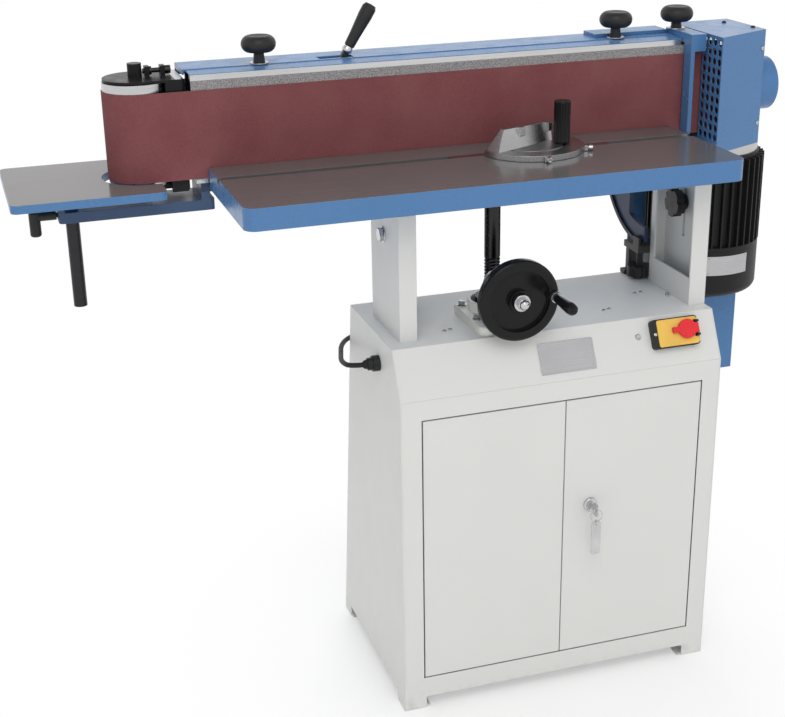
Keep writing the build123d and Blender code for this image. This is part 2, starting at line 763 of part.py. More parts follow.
# dust hood: perforated side, angled front, side with the hose port, open to the belt
front_lean = (hood_yb - hood_ya) / (hood_x1 - hood_x0)
thick = sheet * math.hypot(1, front_lean)
hood_back = 212.0
hood_side = 87.0
strip = [
    (hood_x0, hood_side),
    (hood_x0, hood_ya),
    (hood_x1, hood_yb),
    (hood_x1, hood_back),
    (hood_x1 - sheet, hood_back),
    (hood_x1 - sheet, hood_yb - sheet * front_lean + thick),
    (hood_x0 + sheet, hood_ya + sheet * front_lean + thick),
    (hood_x0 + sheet, hood_side),
]
lid = [(hood_x0, hood_ya), (hood_x1, hood_yb), (hood_x1, hood_back), (hood_x0, hood_back)]
tray_y1 = belt_front + 35
tray = [(hood_x0, hood_ya), (hood_x1, hood_yb), (hood_x1, tray_y1), (hood_x0, tray_y1)]
hood = plan(strip, hood_z0, hood_z1)
hood += plan(lid, hood_z1 - sheet, hood_z1)
hood += plan(tray, base_top, base_top + sheet)
hood += xrod(hood_x1 - sheet, hood_x1 + port_long, port_y, port_z, port_r)
hood -= xrod(hood_x1 - sheet - 1, hood_x1 + port_long + 1, port_y, port_z, port_r - port_wall)
hole_r = 6.5
hole_pitch_y = 17.7
hole_pitch_z = 17.2
holes = []
for row in range(11):
    for column in range(4):
        hy = hood_ya + 10 + hole_pitch_y * column
        hz = belt_low + 3 + hole_pitch_z * row
        holes.append(xrod(hood_x0 - 1, hood_x0 + sheet + 1, hy, hz, hole_r))
hood -= holes
nodes["dust_hood"] = hood

# motor under the drive end
m_flange = zrod(drive_x, drum_y, flange_z0, base_z0, flange_r)
flat_y = drum_y + flange_flat
m_flange -= box(drive_x - flange_r, drive_x + flange_r, flat_y, flat_y + 20, flange_z0 - 1, base_z0 + 1)
m_flange -= zrod(drive_x, drum_y, flange_z0 - 1, base_z0 + 1, motor_shaft_r + 4)
m_flange -= zrod(drive_x, drum_y, flange_z0 - 1, flange_z0 + motor_bearing_h, motor_bearing_r + press_fit)
nodes["motor_flange"] = m_flange

shield_t = motor_bearing_h
bore_r = 66.0
housing = zrod(drive_x, drum_y, motor_low, flange_z0, motor_r)
fins = []
fin_count = 40
for n in range(fin_count):
    fin = Pos(motor_r + 1, 0, 0) * Box((fin_r - motor_r) * 2, 3, flange_z0 - motor_low - 14)
    fins.append(Pos(drive_x, drum_y, (flange_z0 + motor_low) / 2) * Rot(0, 0, 360 * n / fin_count) * fin)
housing += fins
housing += zrod(drive_x, drum_y, motor_low, motor_low + 7, fin_r)
housing -= zrod(drive_x, drum_y, motor_low + shield_t, flange_z0 + 1, bore_r)
housing -= zrod(drive_x, drum_y, motor_low - 1, motor_low + shield_t + 1, motor_bearing_r + press_fit)
nodes["motor_housing"] = housing

cowl = zrod(drive_x, drum_y, cowl_low, motor_low, fin_r)
cowl = fillet(cowl.edges().filter_by(lambda e: abs(e.center().Z - cowl_low) < 0.01), 16)
hollow = zrod(drive_x, drum_y, cowl_low + 3, motor_low + 1, fin_r - 3)
hollow = fillet(hollow.edges().filter_by(lambda e: abs(e.center().Z - cowl_low - 3) < 0.01), 13)
cowl -= hollow
vent = []
for n in range(12):
    vent.append(Pos(drive_x, drum_y, cowl_low) * Rot(0, 0, 30 * n) * Pos(46, 0, 0) * Box(44, 8, 20))
cowl -= vent
nodes["motor_cowl"] = cowl

bearing_in = motor_shaft_r + run_fit
nodes["motor_bearings"] = Compound(
    children=[
        zring(drive_x, drum_y, flange_z0, flange_z0 + motor_bearing_h, bearing_in, motor_bearing_r),
        zring(drive_x, drum_y, motor_low, motor_low + motor_bearing_h, bearing_in, motor_bearing_r),
    ]
)

drum_low = base_top + 5
drum_high = belt_top + 4
motor_shaft = zrod(drive_x, drum_y, motor_low - 50, drum_high + 8, motor_shaft_r)
motor_shaft += zrod(drive_x, drum_y, motor_low + 40, flange_z0 - 30, bore_r - 2)
motor_shaft += zrod(drive_x, drum_y, motor_low - 46, motor_low - 20, 78)
nodes["motor_shaft"] = motor_shaft


def drum(x, z0, z1, bore):
    body = zrod(x, drum_y, z0, z1, drum_r)
    pocket = zring(x, drum_y, z0 - 1, z0 + 50, bore + 12, drum_r - 8)
    pocket += zring(x, drum_y, z1 - 50, z1 + 1, bore + 12, drum_r - 8)
    return body - pocket - zrod(x, drum_y, z0 - 1, z1 + 1, bore)


nodes["drive_drum"] = drum(drive_x, drum_low, drum_high, motor_shaft_r + press_fit)
nodes["sanding_belt"] = loop(belt_out_r, belt_low, belt_top) - loop(belt_in_r, belt_low - 1, belt_top + 1)

# guard box under the motor, hung from the flange's top by its rear wall and a strap behind the motor
guard_x0 = drive_x - 102
guard_x1 = drive_x + 78
guard_y0 = 130.0
strap_t = 4.0
guard_y1 = drum_y + fin_r + 1.5 + strap_t
guard_z0 = 440.0
guard_z1 = 598.0
guard = box(guard_x0, guard_x1, guard_y0, guard_y1, guard_z0, guard_z1)
guard -= box(
    guard_x0 + sheet, guard_x1 - sheet, guard_y0 + sheet, guard_y1 - strap_t, guard_z0 + sheet, guard_z1 + 1
)
guard += box(guard_x0, guard_x1, guard_y1 - strap_t, guard_y1, guard_z1 - 1, base_z0 - 30)
guard += box(drive_x - 25, drive_x + 25, guard_y1 - strap_t, guard_y1, base_z0 - 31, base_z0 + strap_t)
guard += box(drive_x - 25, drive_x + 25, flat_y - 30, guard_y1, base_z0, base_z0 + strap_t)
nodes["motor_guard"] = guard

# idler: drum on bearings on a fixed axle in a sliding fork, pushed out by the tension lever
idler_low = base_top + 2
idler_high = cap_z - 1
nodes["idler_drum"] = drum(idler_x, idler_low, idler_high, bearing_r)
nodes["idler_bearings"] = Compound(
    children=[
        zring(idler_x, drum_y, idler_low + 4, idler_low + 19, axle_r + run_fit, bearing_r - press_fit),
        zring(idler_x, drum_y, idler_high - 19, idler_high - 4, axle_r + run_fit, bearing_r - press_fit),
    ]
)
drum_clear = 3.0
slab_x0 = idler_x + drum_r + drum_clear
slab_t = 14.0
slab_x1 = slab_x0 + slab_t
slab_y0 = drum_y - 38.5
slab_y1 = drum_y + 42.5
wing_x0 = slab_x0 - 18
wing_x1 = slab_x1 - 4
wing_gap = 5.8
wing_y0 = belt_front + belt_t + wing_gap
wing_y1 = 2 * drum_y - wing_y0
fork_half = 23.5
fork_z0 = base_top - 12
cap_top = cap_z + cap_t
fork = box(idler_x, slab_x1, drum_y - fork_half, drum_y + fork_half, fork_z0, base_top)
fork += zrod(idler_x, drum_y, fork_z0, base_top, fork_half)
wings = box(wing_x0, wing_x1, wing_y0, wing_y1, fork_z0, cap_top)
fork += wings - zrod(idler_x, drum_y, fork_z0 - 1, cap_top + 1, drum_r + drum_clear)
fork += box(slab_x0, slab_x1, slab_y0, slab_y1, fork_z0, cap_top)
fork += zrod(idler_x, drum_y, cap_z, cap_top, drum_r - 2)
fork += box(idler_x, wing_x1, wing_y0, wing_y1, cap_z, cap_top)
fork += zrod(idler_x, drum_y, fork_z0, cap_top, axle_r)
fork += zrod(idler_x, drum_y, cap_top, cap_top + 23, axle_r + 2)
bar_end = lever_x - 4.6
fork += xrod(slab_x1 - 1, bar_end, bar_y, bar_z, bar_r)
track_z = cap_top + 9
track_r = 4.0
track_a = idler_x + 20
track_b = idler_x + 46
for bx in (track_a, track_b):
    fork += box(bx - 4, bx + 4, drum_y - 8, drum_y + 8, cap_top, track_z + 8)
fork -= xrod(track_a - 6, track_b + 6, drum_y, track_z, track_r + run_fit)
nodes["idler_carriage"] = fork
track = xrod(track_a - 7, track_b + 12, drum_y, track_z, track_r)
track += xrod(track_b + 4 + slide_gap, track_b + 14, drum_y, track_z, 7)
track += xrod(track_a + 4 + slide_gap, track_a + 8, drum_y, track_z, 7)
nodes["tracking_screw"] = track

# tension lever: lower arm bears on the bar's end, upper grip leans to the right
lean_x = 69.0
lean_z = 114.0
lever_len = math.hypot(lean_x, lean_z)
lean_deg = math.degrees(math.atan2(lean_x, lean_z))
grip_at = Pos(lever_x, bar_y, lever_z) * Rot(0, lean_deg, 0)
lever = yrod(lever_x, bar_y - 8, bar_y + 8, lever_z, 12)
lever += grip_at * Pos(0, 0, 24) * Box(10, 10, 48)
tension_grip = [
    (0, 42), (7, 42), (7, 52), (9, 53), (10, 76), (12.5, 110), (12.5, 126), (9.5, 132), (0, lever_len),
]
lever += grip_at * revolve(Plane.XZ * make_face(Polyline(*tension_grip, close=True)), Axis.Z)
lever += box(lever_x - 4, lever_x + 6, bar_y - 8, bar_y + 8, bar_z - 8, lever_z)
lever -= yrod(lever_x, bar_y - 9, bar_y + 9, lever_z, lever_pin_r + run_fit)
nodes["tension_lever"] = lever

# end table on a post that slides in the arm under the head
arm_end = 24.0
arm_seat = 23.0
arm_y1 = base_y1 - 5
arm_x0 = post_x - arm_end
arm_x1 = base_x0 + arm_seat
arm = box(arm_x0, arm_x1, base_y0, arm_y1, arm_z0, arm_z0 + arm_t)
arm = fillet(arm.edges().filter_by(Axis.Z), 8)
arm += box(base_x0, arm_x1 - 8, base_y0, arm_y1, arm_z0 + arm_t, base_z0)
arm -= zrod(post_x, post_y, arm_z0 - 1, arm_z0 + arm_t + 1, post_r + run_fit)
clamp_z = arm_z0 + arm_t / 2
clamp_r = 4.0
arm -= xrod(arm_x0 - 1, post_x, post_y, clamp_z, clamp_r + run_fit)
nodes["end_table_arm"] = arm
end_plate = box(end_x0, end_x1, end_y0, end_y1, end_top - end_t, end_top)
end_plate = fillet(end_plate.edges().filter_by(Axis.Z), 12)
end_plate -= zrod(idler_x, drum_y, end_top - end_t - 1, end_top + 1, notch_r)
end_plate -= box(idler_x, end_x1 + 1, drum_y - notch_r, drum_y + notch_r, end_top - end_t - 1, end_top + 1)
nodes["end_table"] = end_plate
post_long = 199.0
post_high = end_top - end_t
nodes["end_table_post"] = zrod(post_x, post_y, post_high - post_long, post_high, post_r)
clamp_out = 38.0
clamp = xrod(arm_x0 - 12, post_x - post_r - 1, post_y, clamp_z, clamp_r)
clamp += xrod(arm_x0 - clamp_out, arm_x0 - 2, post_y, clamp_z, 8)
grip_low = clamp_z - 34
grip_high = clamp_z + 9
lever_grip = zrod(arm_x0 - clamp_out, post_y, grip_low, grip_high, 9.5)
clamp += fillet(lever_grip.edges().filter_by(GeomType.CIRCLE), 4)
nodes["end_table_lever"] = clamp

# mitre gauge: bar in the slot, half round head turning on the bar's pin, locking handle
bar_low = table_top - slot_d + curve_gap
bar_high = table_top - curve_gap
pivot_x = 12.0
pivot_r = 5.0
head_low = table_top + 0.5
head_high = head_low + 10
gauge_r = 93.0
gauge_deg = 18.0
side_gap = slide_gap / 2
mitre_long = 300.0
mitre_x0 = pivot_x - mitre_long / 2
mitre_bar = box(mitre_x0, mitre_x0 + mitre_long, slot_y0 + side_gap, slot_y1 - side_gap, bar_low, bar_high)
mitre_bar += zrod(pivot_x, slot_y, bar_high - 1, head_high, pivot_r)
nodes["mitre_bar"] = mitre_bar
fence_y = slot_y + 14
gauge = zrod(pivot_x, slot_y, head_low, head_high, gauge_r)
beyond = gauge_r + 1
gauge -= box(pivot_x - beyond, pivot_x + beyond, fence_y, fence_y + beyond, head_low - 1, head_high + 1)
groove = zring(pivot_x, slot_y, head_high - 2, head_high + 1, 56, 62)
gauge -= groove & box(pivot_x - 70, pivot_x + 70, slot_y - 70, slot_y - 12, head_high - 3, head_high + 2)
fence_h = 32.0
fence_x0 = pivot_x - gauge_r + 5
fence_x1 = pivot_x + 50
fence_top = head_high + fence_h
sections = []
for x, top_t, low_t in ((fence_x0, 9, 33), (fence_x1, 8, 14)):
    points = [
        (fence_y, head_high),
        (fence_y, fence_top),
        (fence_y - top_t, fence_top),
        (fence_y - low_t, head_high),
    ]
    face = make_face(Polyline(*points, close=True))
    sections.append(Plane(origin=(x, 0, 0), x_dir=(0, 1, 0), z_dir=(1, 0, 0)) * face)
fence = loft(sections, ruled=True)
end_slope = [
    (fence_x0, head_high),
    (fence_x1, head_high),
    (fence_x1, fence_top),
    (fence_x0 + 31, fence_top),
]
fence = fence & elevation(end_slope, fence_y - 40, fence_y + 1)
for lug_x in (pivot_x - 26, fence_x1 - 12):
    fence += box(lug_x, lug_x + 10, fence_y - 18, fence_y - 6, fence_top - 14, fence_top + 1)
gauge += fence
gauge = Pos(pivot_x, slot_y, 0) * Rot(0, 0, gauge_deg) * Pos(-pivot_x, -slot_y, 0) * gauge
gauge -= zrod(pivot_x, slot_y, head_low - 1, head_high + 1, pivot_r + run_fit)
grip_x = 67.0
grip_y = -2.0
gauge -= zrod(grip_x, grip_y, head_low - 1, head_high + 1, knob_stud_r + run_fit)
nodes["mitre_head"] = gauge
handle_half = [
    (0, head_low + 1), (4, head_low + 1), (4, head_high + 0.5),
    (13.5, head_high + 0.5), (14.5, head_high + 2),
    (14.5, head_high + 72), (13, head_high + 74), (0, head_high + 75),
]
handle_face = make_face(Polyline(*handle_half, close=True))
nodes["mitre_handle"] = Pos(grip_x, grip_y, 0) * revolve(Plane.XZ * handle_face, Axis.Z)

# switch on the sloped panel: box, lid over the start button
slope = Plane(origin=(0, front_y, slope_z), x_dir=(1, 0, 0), z_dir=(0, -rise, run))
sw_in = 40.0
sw_wide = 89.0
sw_u1 = half_w - sw_in
sw_u0 = sw_u1 - sw_wide
sw_v0 = 31.0
sw_v1 = 83.0
sw_h = 12.0
btn_u = sw_u1 - 24
btn_v = 60.0
btn_r = 8.0
pin_u = sw_u1 - 4
pin_w = sw_h + 5


def on_slope(u0, u1, v0, v1, w0, w1):
    return Pos((u0 + u1) / 2, (v0 + v1) / 2, (w0 + w1) / 2) * Box(u1 - u0, v1 - v0, w1 - w0)


def slope_rod(u, v, w0, w1, r):
    return Pos(u, v, (w0 + w1) / 2) * Cylinder(r, w1 - w0)


def lid_rod(v0, v1, r):
    return Pos(pin_u, (v0 + v1) / 2, pin_w) * Rot(90, 0, 0) * Cylinder(r, v1 - v0)


lid_pin_r = 1.5
switch = on_slope(sw_u0, sw_u1, sw_v0, sw_v1, 0, sw_h)
switch = fillet(switch.edges().filter_by(Axis.Z), 6)
switch -= slope_rod(btn_u, btn_v, 2, sw_h + 1, btn_r + run_fit)
for v0 in (btn_v - 14, btn_v + 10):
    switch += on_slope(pin_u - 3, pin_u + 3, v0, v0 + 4, sw_h, pin_w + 3)
switch += lid_rod(btn_v - 12, btn_v + 12, lid_pin_r)
nodes["switch_box"] = slope * switch
nodes["start_button"] = slope * slope_rod(btn_u, btn_v, 6, sw_h + 2.5, btn_r)
lid_top = pin_w + 3
stop_lid = slope_rod(btn_u, btn_v, lid_top - 5, lid_top, 17)
stop_lid += on_slope(btn_u - 28, btn_u - 10, btn_v - 5, btn_v + 5, lid_top - 5, lid_top)
stop_lid += on_slope(btn_u + 8, pin_u, btn_v - 9, btn_v + 9, lid_top - 4, lid_top)
stop_lid += lid_rod(btn_v - 9, btn_v + 9, 3)
stop_lid -= lid_rod(btn_v - 10, btn_v + 10, lid_pin_r + run_fit)
nodes["stop_lid"] = slope * stop_lid

# power lead from the gland on the left side round to a gland on the back
route = [
    (-306, lead_y, lead_z),
    (-350, lead_y, lead_z - 1),
    (-352, -20, 625),
    (-334, 45, 614),
    (-319, 98, 609),
    (-294, 138, 607),
    (-240, 168, exit_z),
    (exit_x, 168, exit_z),
    (exit_x, 96, exit_z),
]
radii = []
for a, b, c in zip(route, route[1:], route[2:]):
    first = Vector(*b) - Vector(*a)
    second = Vector(*c) - Vector(*b)
    half_turn = math.radians(first.get_angle(second)) / 2
    radii.append(0.45 * min(first.length, second.length) / math.tan(half_turn))
path = FilletPolyline(*route, radius=radii)
section = Plane(origin=path @ 0, z_dir=path % 0) * Circle(lead_r)
lead = sweep(section, path=path)
print("lead radii", [round(r, 1) for r in radii])
print("lead volume ratio", round(lead.volume / (math.pi * lead_r**2 * path.length), 4))
nodes["power_lead"] = lead
gland_a = xrod(-half_w - 20, -half_w + 8, lead_y, lead_z, gland_r)
gland_a += xrod(-half_w - 12, -half_w, lead_y, lead_z, gland_r + 3)
gland_a -= xrod(-half_w - 60, -half_w + 9, lead_y, lead_z, lead_r + 0.6)
gland_b = yrod(exit_x, back_y(exit_z) - 10, back_y(exit_z) + 26, exit_z, gland_r)
gland_b += yrod(exit_x, back_y(exit_z) + 3, back_y(exit_z) + 14, exit_z, gland_r + 3)
gland_b -= yrod(exit_x, back_y(exit_z) - 11, back_y(exit_z) + 27, exit_z, lead_r + 0.6)
nodes["cord_glands"] = Compound(children=[gland_a, gland_b])

for name, solid in nodes.items():
    export_step(solid, f"parts/{name}.step")
print(len(nodes), "nodes")
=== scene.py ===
import math

import bmesh
import bpy
from mathutils import Matrix, Vector


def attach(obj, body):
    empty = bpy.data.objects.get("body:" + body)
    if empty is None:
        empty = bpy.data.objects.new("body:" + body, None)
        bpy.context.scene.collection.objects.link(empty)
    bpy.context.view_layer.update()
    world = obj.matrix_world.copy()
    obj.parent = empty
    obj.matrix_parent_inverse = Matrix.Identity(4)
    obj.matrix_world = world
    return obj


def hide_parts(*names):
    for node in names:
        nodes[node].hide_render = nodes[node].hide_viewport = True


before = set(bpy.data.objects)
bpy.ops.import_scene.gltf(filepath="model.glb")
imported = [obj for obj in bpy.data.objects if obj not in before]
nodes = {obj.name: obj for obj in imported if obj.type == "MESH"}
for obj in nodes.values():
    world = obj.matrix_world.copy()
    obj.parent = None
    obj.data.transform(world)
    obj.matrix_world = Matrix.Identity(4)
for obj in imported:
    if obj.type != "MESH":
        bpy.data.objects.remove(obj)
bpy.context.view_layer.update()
scene = bpy.context.scene
scene.view_settings.view_transform = "Standard"
print("frame loaded:", len(nodes), "nodes")

# camera at the photograph's viewing angle
cameraSet = {"place": (-0.9745, -2.3108, 1.5613), "yaw": 0.303468, "pitch": 0.374424, "roll": -0.0183916,
             "lens": 66.677}


def aimCamera(s):
    forward = Vector((
        math.sin(s["yaw"]) * math.cos(s["pitch"]),
        math.cos(s["yaw"]) * math.cos(s["pitch"]),
        -math.sin(s["pitch"]),
    ))
    right = Vector((math.cos(s["yaw"]), -math.sin(s["yaw"]), 0))
    up = right.cross(forward)
    c, d = math.cos(s["roll"]), math.sin(s["roll"])
    sideways, upwards = c * right + d * up, c * up - d * right
    data = bpy.data.cameras.new("camera")
    data.sensor_fit = "HORIZONTAL"
    data.sensor_width = 36
    data.lens = s["lens"]
    data.clip_end = 60
    cam = bpy.data.objects.new("camera", data)
    turn = Matrix((sideways, upwards, -forward)).transposed().to_4x4()
    cam.matrix_world = Matrix.Translation(s["place"]) @ turn
    scene.collection.objects.link(cam)
    scene.camera = cam


aimCamera(cameraSet)


# small helpers for node trees and meshes
class Finish:
    def __init__(self, name):
        self.mat = bpy.data.materials.new(name)
        self.mat.use_nodes = True
        self.tree = self.mat.node_tree
        self.shader = self.tree.nodes["Principled BSDF"]
        self.place = self.tree.nodes.new("ShaderNodeTexCoord").outputs["Object"]

    def node(self, kind, **values):
        made = self.tree.nodes.new(kind)
        for key, value in values.items():
            setattr(made, key, value)
        return made

    def link(self, a, b):
        self.tree.links.new(a, b)

    def feed(self, socket, value):
        if isinstance(value, bpy.types.NodeSocket):
            self.link(value, socket)
        else:
            socket.default_value = value

    def put(self, **values):
        for key, value in values.items():
            self.feed(self.shader.inputs[key.replace("_", " ")], value)

    def stretch(self, scale):
        made = self.node("ShaderNodeMapping")
        made.inputs["Scale"].default_value = scale
        self.link(self.place, made.inputs["Vector"])
        return made.outputs["Vector"]

    def noise(self, scale, detail=3.0, vector=None, rough=0.5):
        made = self.node("ShaderNodeTexNoise")
        made.inputs["Scale"].default_value = scale
        made.inputs["Detail"].default_value = detail
        made.inputs["Roughness"].default_value = rough
        self.link(vector or self.place, made.inputs["Vector"])
        return made.outputs["Fac"]

    def cells(self, scale, out="Distance"):
        made = self.node("ShaderNodeTexVoronoi")
        made.inputs["Scale"].default_value = scale
        self.link(self.place, made.inputs["Vector"])
        return made.outputs[out]

    def math(self, kind, a, b=0.0, clamp=False):
        made = self.node("ShaderNodeMath", operation=kind, use_clamp=clamp)
        self.feed(made.inputs[0], a)
        self.feed(made.inputs[1], b)
        return made.outputs[0]

    def spread(self, value, low, high, outLow, outHigh):
        made = self.node("ShaderNodeMapRange")
        for key, number in (("From Min", low), ("From Max", high), ("To Min", outLow), ("To Max", outHigh)):
            made.inputs[key].default_value = number
        self.feed(made.inputs["Value"], value)
        return made.outputs["Result"]

    def mix(self, fac, a, b):
        made = self.node("ShaderNodeMix", data_type="RGBA")
        self.feed(made.inputs[0], fac)
        for socket, value in ((made.inputs[6], a), (made.inputs[7], b)):
            self.feed(socket, value if isinstance(value, bpy.types.NodeSocket) else (*value, 1))
        return made.outputs[2]

    def mixNumber(self, fac, a, b):
        made = self.node("ShaderNodeMix", data_type="FLOAT")
        self.feed(made.inputs[0], fac)
        self.feed(made.inputs[2], a)
        self.feed(made.inputs[3], b)
        return made.outputs[0]

    def axis(self, name):
        made = self.node("ShaderNodeSeparateXYZ")
        self.link(self.place, made.inputs[0])
        return made.outputs[name]

    def facing(self, name):
        geometry = self.node("ShaderNodeNewGeometry")
        made = self.node("ShaderNodeSeparateXYZ")
        self.link(geometry.outputs["Normal"], made.inputs[0])
        return made.outputs[name]

    def rounded(self, radius):
        made = self.node("ShaderNodeBevel", samples=4)
        made.inputs["Radius"].default_value = radius
        return made.outputs["Normal"]

    def edges(self, soft, low, high):
        # 1 along sharp edges, 0 on flats
        geometry = self.node("ShaderNodeNewGeometry")
        made = self.node("ShaderNodeVectorMath", operation="DOT_PRODUCT")
        self.link(soft, made.inputs[0])
        self.link(geometry.outputs["Normal"], made.inputs[1])
        return self.spread(made.outputs["Value"], high, low, 0, 1)

    def bump(self, height, strength, distance, after=None):
        made = self.node("ShaderNodeBump")
        made.inputs["Strength"].default_value = strength
        made.inputs["Distance"].default_value = distance
        self.feed(made.inputs["Height"], height)
        if after:
            self.link(after, made.inputs["Normal"])
        return made.outputs["Normal"]


def tinted(colour, amount):
    return tuple(min(1.0, c * amount) for c in colour)


def paintFinish(name, colour, rough, peel=0.10, coat=0.0, spec=0.4, mottled=0.05, soft=0.0012, worn=0.5):
    f = Finish(name)
    softEdge = f.rounded(soft)
    tone = f.mix(f.noise(7, 4), tinted(colour, 1 - mottled), tinted(colour, 1 + mottled))
    speck = f.spread(f.noise(420, 2), 0.68, 0.80, 0, 0.25)
    tone = f.mix(speck, tone, tinted(colour, 0.82))
    wear = f.math("MULTIPLY", f.edges(softEdge, 0.80, 0.97), f.spread(f.noise(46, 4), 0.42, 0.62, 0.15, worn))
    f.put(Base_Color=f.mix(wear, tone, tuple(0.55 * c + 0.30 for c in colour)))
    f.put(Roughness=f.spread(f.noise(34, 3), 0.3, 0.7, rough - 0.05, rough + 0.07))
    f.put(Normal=f.bump(f.noise(760, 2), peel, 0.0006, softEdge))
    f.put(Specular_IOR_Level=spec, Coat_Weight=coat, Coat_Roughness=0.08)
    return f


def metalFinish(name, colour, rough, scratch=(3, 600, 600), depth=0.06, spread=0.06):
    f = Finish(name)
    lines = f.noise(1.0, 3, f.stretch(scratch))
    tone = f.mix(f.noise(16, 4), tinted(colour, 0.86), tinted(colour, 1.08))
    f.put(Base_Color=f.mix(f.spread(lines, 0.35, 0.65, 0, 0.35), tone, tinted(colour, 0.80)))
    f.put(Roughness=f.spread(lines, 0.3, 0.7, rough - spread, rough + spread), Metallic=1.0)
    f.put(Normal=f.bump(lines, depth, 0.0004, f.rounded(0.0006)))
    return f


def plasticFinish(name, colour, rough, grain=900, depth=0.08, spec=0.3):
    f = Finish(name)
    tone = f.mix(f.noise(22, 3), tinted(colour, 0.8), tinted(colour, 1.25))
    f.put(Base_Color=tone, Specular_IOR_Level=spec)
    f.put(Roughness=f.spread(f.noise(90, 3), 0.3, 0.7, rough - 0.06, rough + 0.08))
    f.put(Normal=f.bump(f.noise(grain, 2), depth, 0.0005, f.rounded(0.0012)))
    return f


paintSet = {
    "cabinetGrey": (0.700, 0.700, 0.680),
    "machineBlue": (0.076, 0.194, 0.405),
    "armBlue": (0.045, 0.085, 0.165),
    "deepBlue": (0.028, 0.046, 0.090),
    "panelCream": (0.820, 0.825, 0.760),
}


def cabinetFinish():
    f = paintFinish("cabinetGreyPaint", paintSet["cabinetGrey"], 0.46, 0.16, 0.0, 0.35, 0.025)
    high = f.axis("Z")
    scuff = f.math("MULTIPLY", f.spread(high, 0.004, 0.04, 1, 0),
                   f.spread(f.noise(60, 5), 0.50, 0.72, 0, 0.30))
    tone = f.shader.inputs["Base Color"].links[0].from_socket
    f.put(Base_Color=f.mix(scuff, tone, (0.30, 0.285, 0.26)))
    return f.mat


def groundTopFinish(name, s):
    # ground iron on top and in the slot, blue paint round the sides
    f = Finish(name)
    upward = f.spread(f.facing("Z"), 0.80, 0.90, 0, 1)
    above = f.spread(f.axis("Z"), s["bare"] - 0.0004, s["bare"], 0, 1)
    top = f.math("MULTIPLY", upward, above)
    if "slot" in s:
        y = f.axis("Y")
        inSlot = f.math("MULTIPLY", f.spread(y, s["slot"][0] - 0.0008, s["slot"][0] - 0.0004, 0, 1),
                        f.spread(y, s["slot"][1] + 0.0004, s["slot"][1] + 0.0008, 1, 0))
        inSlot = f.math("MULTIPLY", inSlot,
                        f.spread(f.axis("Z"), s["slotFloor"] - 0.001, s["slotFloor"] - 0.0006, 0, 1))
        top = f.math("MAXIMUM", top, inSlot)
    lines = f.noise(1.0, 4, f.stretch((4, 520, 520)))
    stain = f.noise(9, 5)
    iron = f.mix(f.spread(lines, 0.3, 0.7, 0, 1), (0.146, 0.138, 0.137), (0.174, 0.167, 0.166))
    iron = f.mix(f.spread(stain, 0.55, 0.8, 0, 0.35), iron, (0.120, 0.108, 0.102))
    paint = f.mix(f.noise(7, 4), tinted(paintSet["machineBlue"], 0.95), tinted(paintSet["machineBlue"], 1.06))
    softEdge = f.rounded(0.0014)
    wear = f.math("MULTIPLY", f.edges(softEdge, 0.80, 0.97), f.spread(f.noise(46, 4), 0.42, 0.62, 0.2, 0.75))
    paint = f.mix(wear, paint, (0.36, 0.43, 0.53))
    f.put(Base_Color=f.mix(top, paint, iron), Metallic=f.math("MULTIPLY", top, s["metal"]))
    f.put(IOR=f.mixNumber(top, 1.40, s["sheen"]))
    ironRough = f.math("ADD", f.spread(lines, 0.3, 0.7, 0.11, 0.18), f.spread(stain, 0.4, 0.7, 0.0, 0.06))
    f.put(Roughness=f.mixNumber(top, f.spread(f.noise(34, 3), 0.3, 0.7, 0.22, 0.32), ironRough))
    height = f.mixNumber(top, f.math("MULTIPLY", f.noise(760, 2), 1.0), f.math("MULTIPLY", lines, 0.35))
    f.put(Normal=f.bump(height, 0.10, 0.0005, softEdge))
    return f.mat


def beltFinish(s={"left": -0.648, "right": 0.440, "middle": 0.1485, "inside": 0.0579}):
    f = Finish("abrasiveBelt")
    run = f.math("MINIMUM", f.math("MAXIMUM", f.axis("X"), s["left"]), s["right"])
    dx = f.math("SUBTRACT", f.axis("X"), run)
    dy = f.math("SUBTRACT", f.axis("Y"), s["middle"])
    away = f.math("SQRT", f.math("ADD", f.math("MULTIPLY", dx, dx), f.math("MULTIPLY", dy, dy)))
    outer = f.spread(away, s["inside"] - 0.0002, s["inside"] + 0.0002, 0, 1)
    grit = f.cells(1150)
    dust = f.noise(14, 5)
    red = f.mix(f.spread(grit, 0.05, 0.6, 0, 1), (0.330, 0.108, 0.114), (0.175, 0.052, 0.059))
    red = f.mix(f.spread(f.noise(900, 2), 0.66, 0.78, 0, 0.55), red, (0.44, 0.23, 0.22))
    red = f.mix(f.spread(dust, 0.35, 0.75, 0.0, 0.22), red, (0.34, 0.155, 0.145))
    weave = f.math("MULTIPLY", f.math("SINE", f.math("MULTIPLY", f.axis("Z"), 6200)),
                   f.math("SINE", f.math("MULTIPLY", f.math("ADD", f.axis("X"), f.axis("Y")), 6200)))
    cloth = f.mix(f.spread(weave, -1, 1, 0, 1), (0.22, 0.145, 0.095), (0.33, 0.23, 0.155))
    f.put(Base_Color=f.mix(outer, cloth, red), Roughness=f.mixNumber(outer, 0.85, 0.78),
          Specular_IOR_Level=0.2)
    f.put(Normal=f.bump(f.mixNumber(outer, f.math("MULTIPLY", weave, 0.3), grit), 0.5, 0.0005))
    return f.mat


def graphiteFinish():
    f = Finish("graphiteCloth")
    grain = f.noise(620, 4, rough=0.7)
    tone = f.mix(f.spread(grain, 0.36, 0.64, 0, 1), (0.085, 0.08, 0.085), (0.47, 0.45, 0.46))
    f.put(Base_Color=tone, Roughness=f.spread(grain, 0.3, 0.7, 0.45, 0.7), Specular_IOR_Level=0.4)
    f.put(Normal=f.bump(grain, 0.45, 0.0006))
    return f.mat


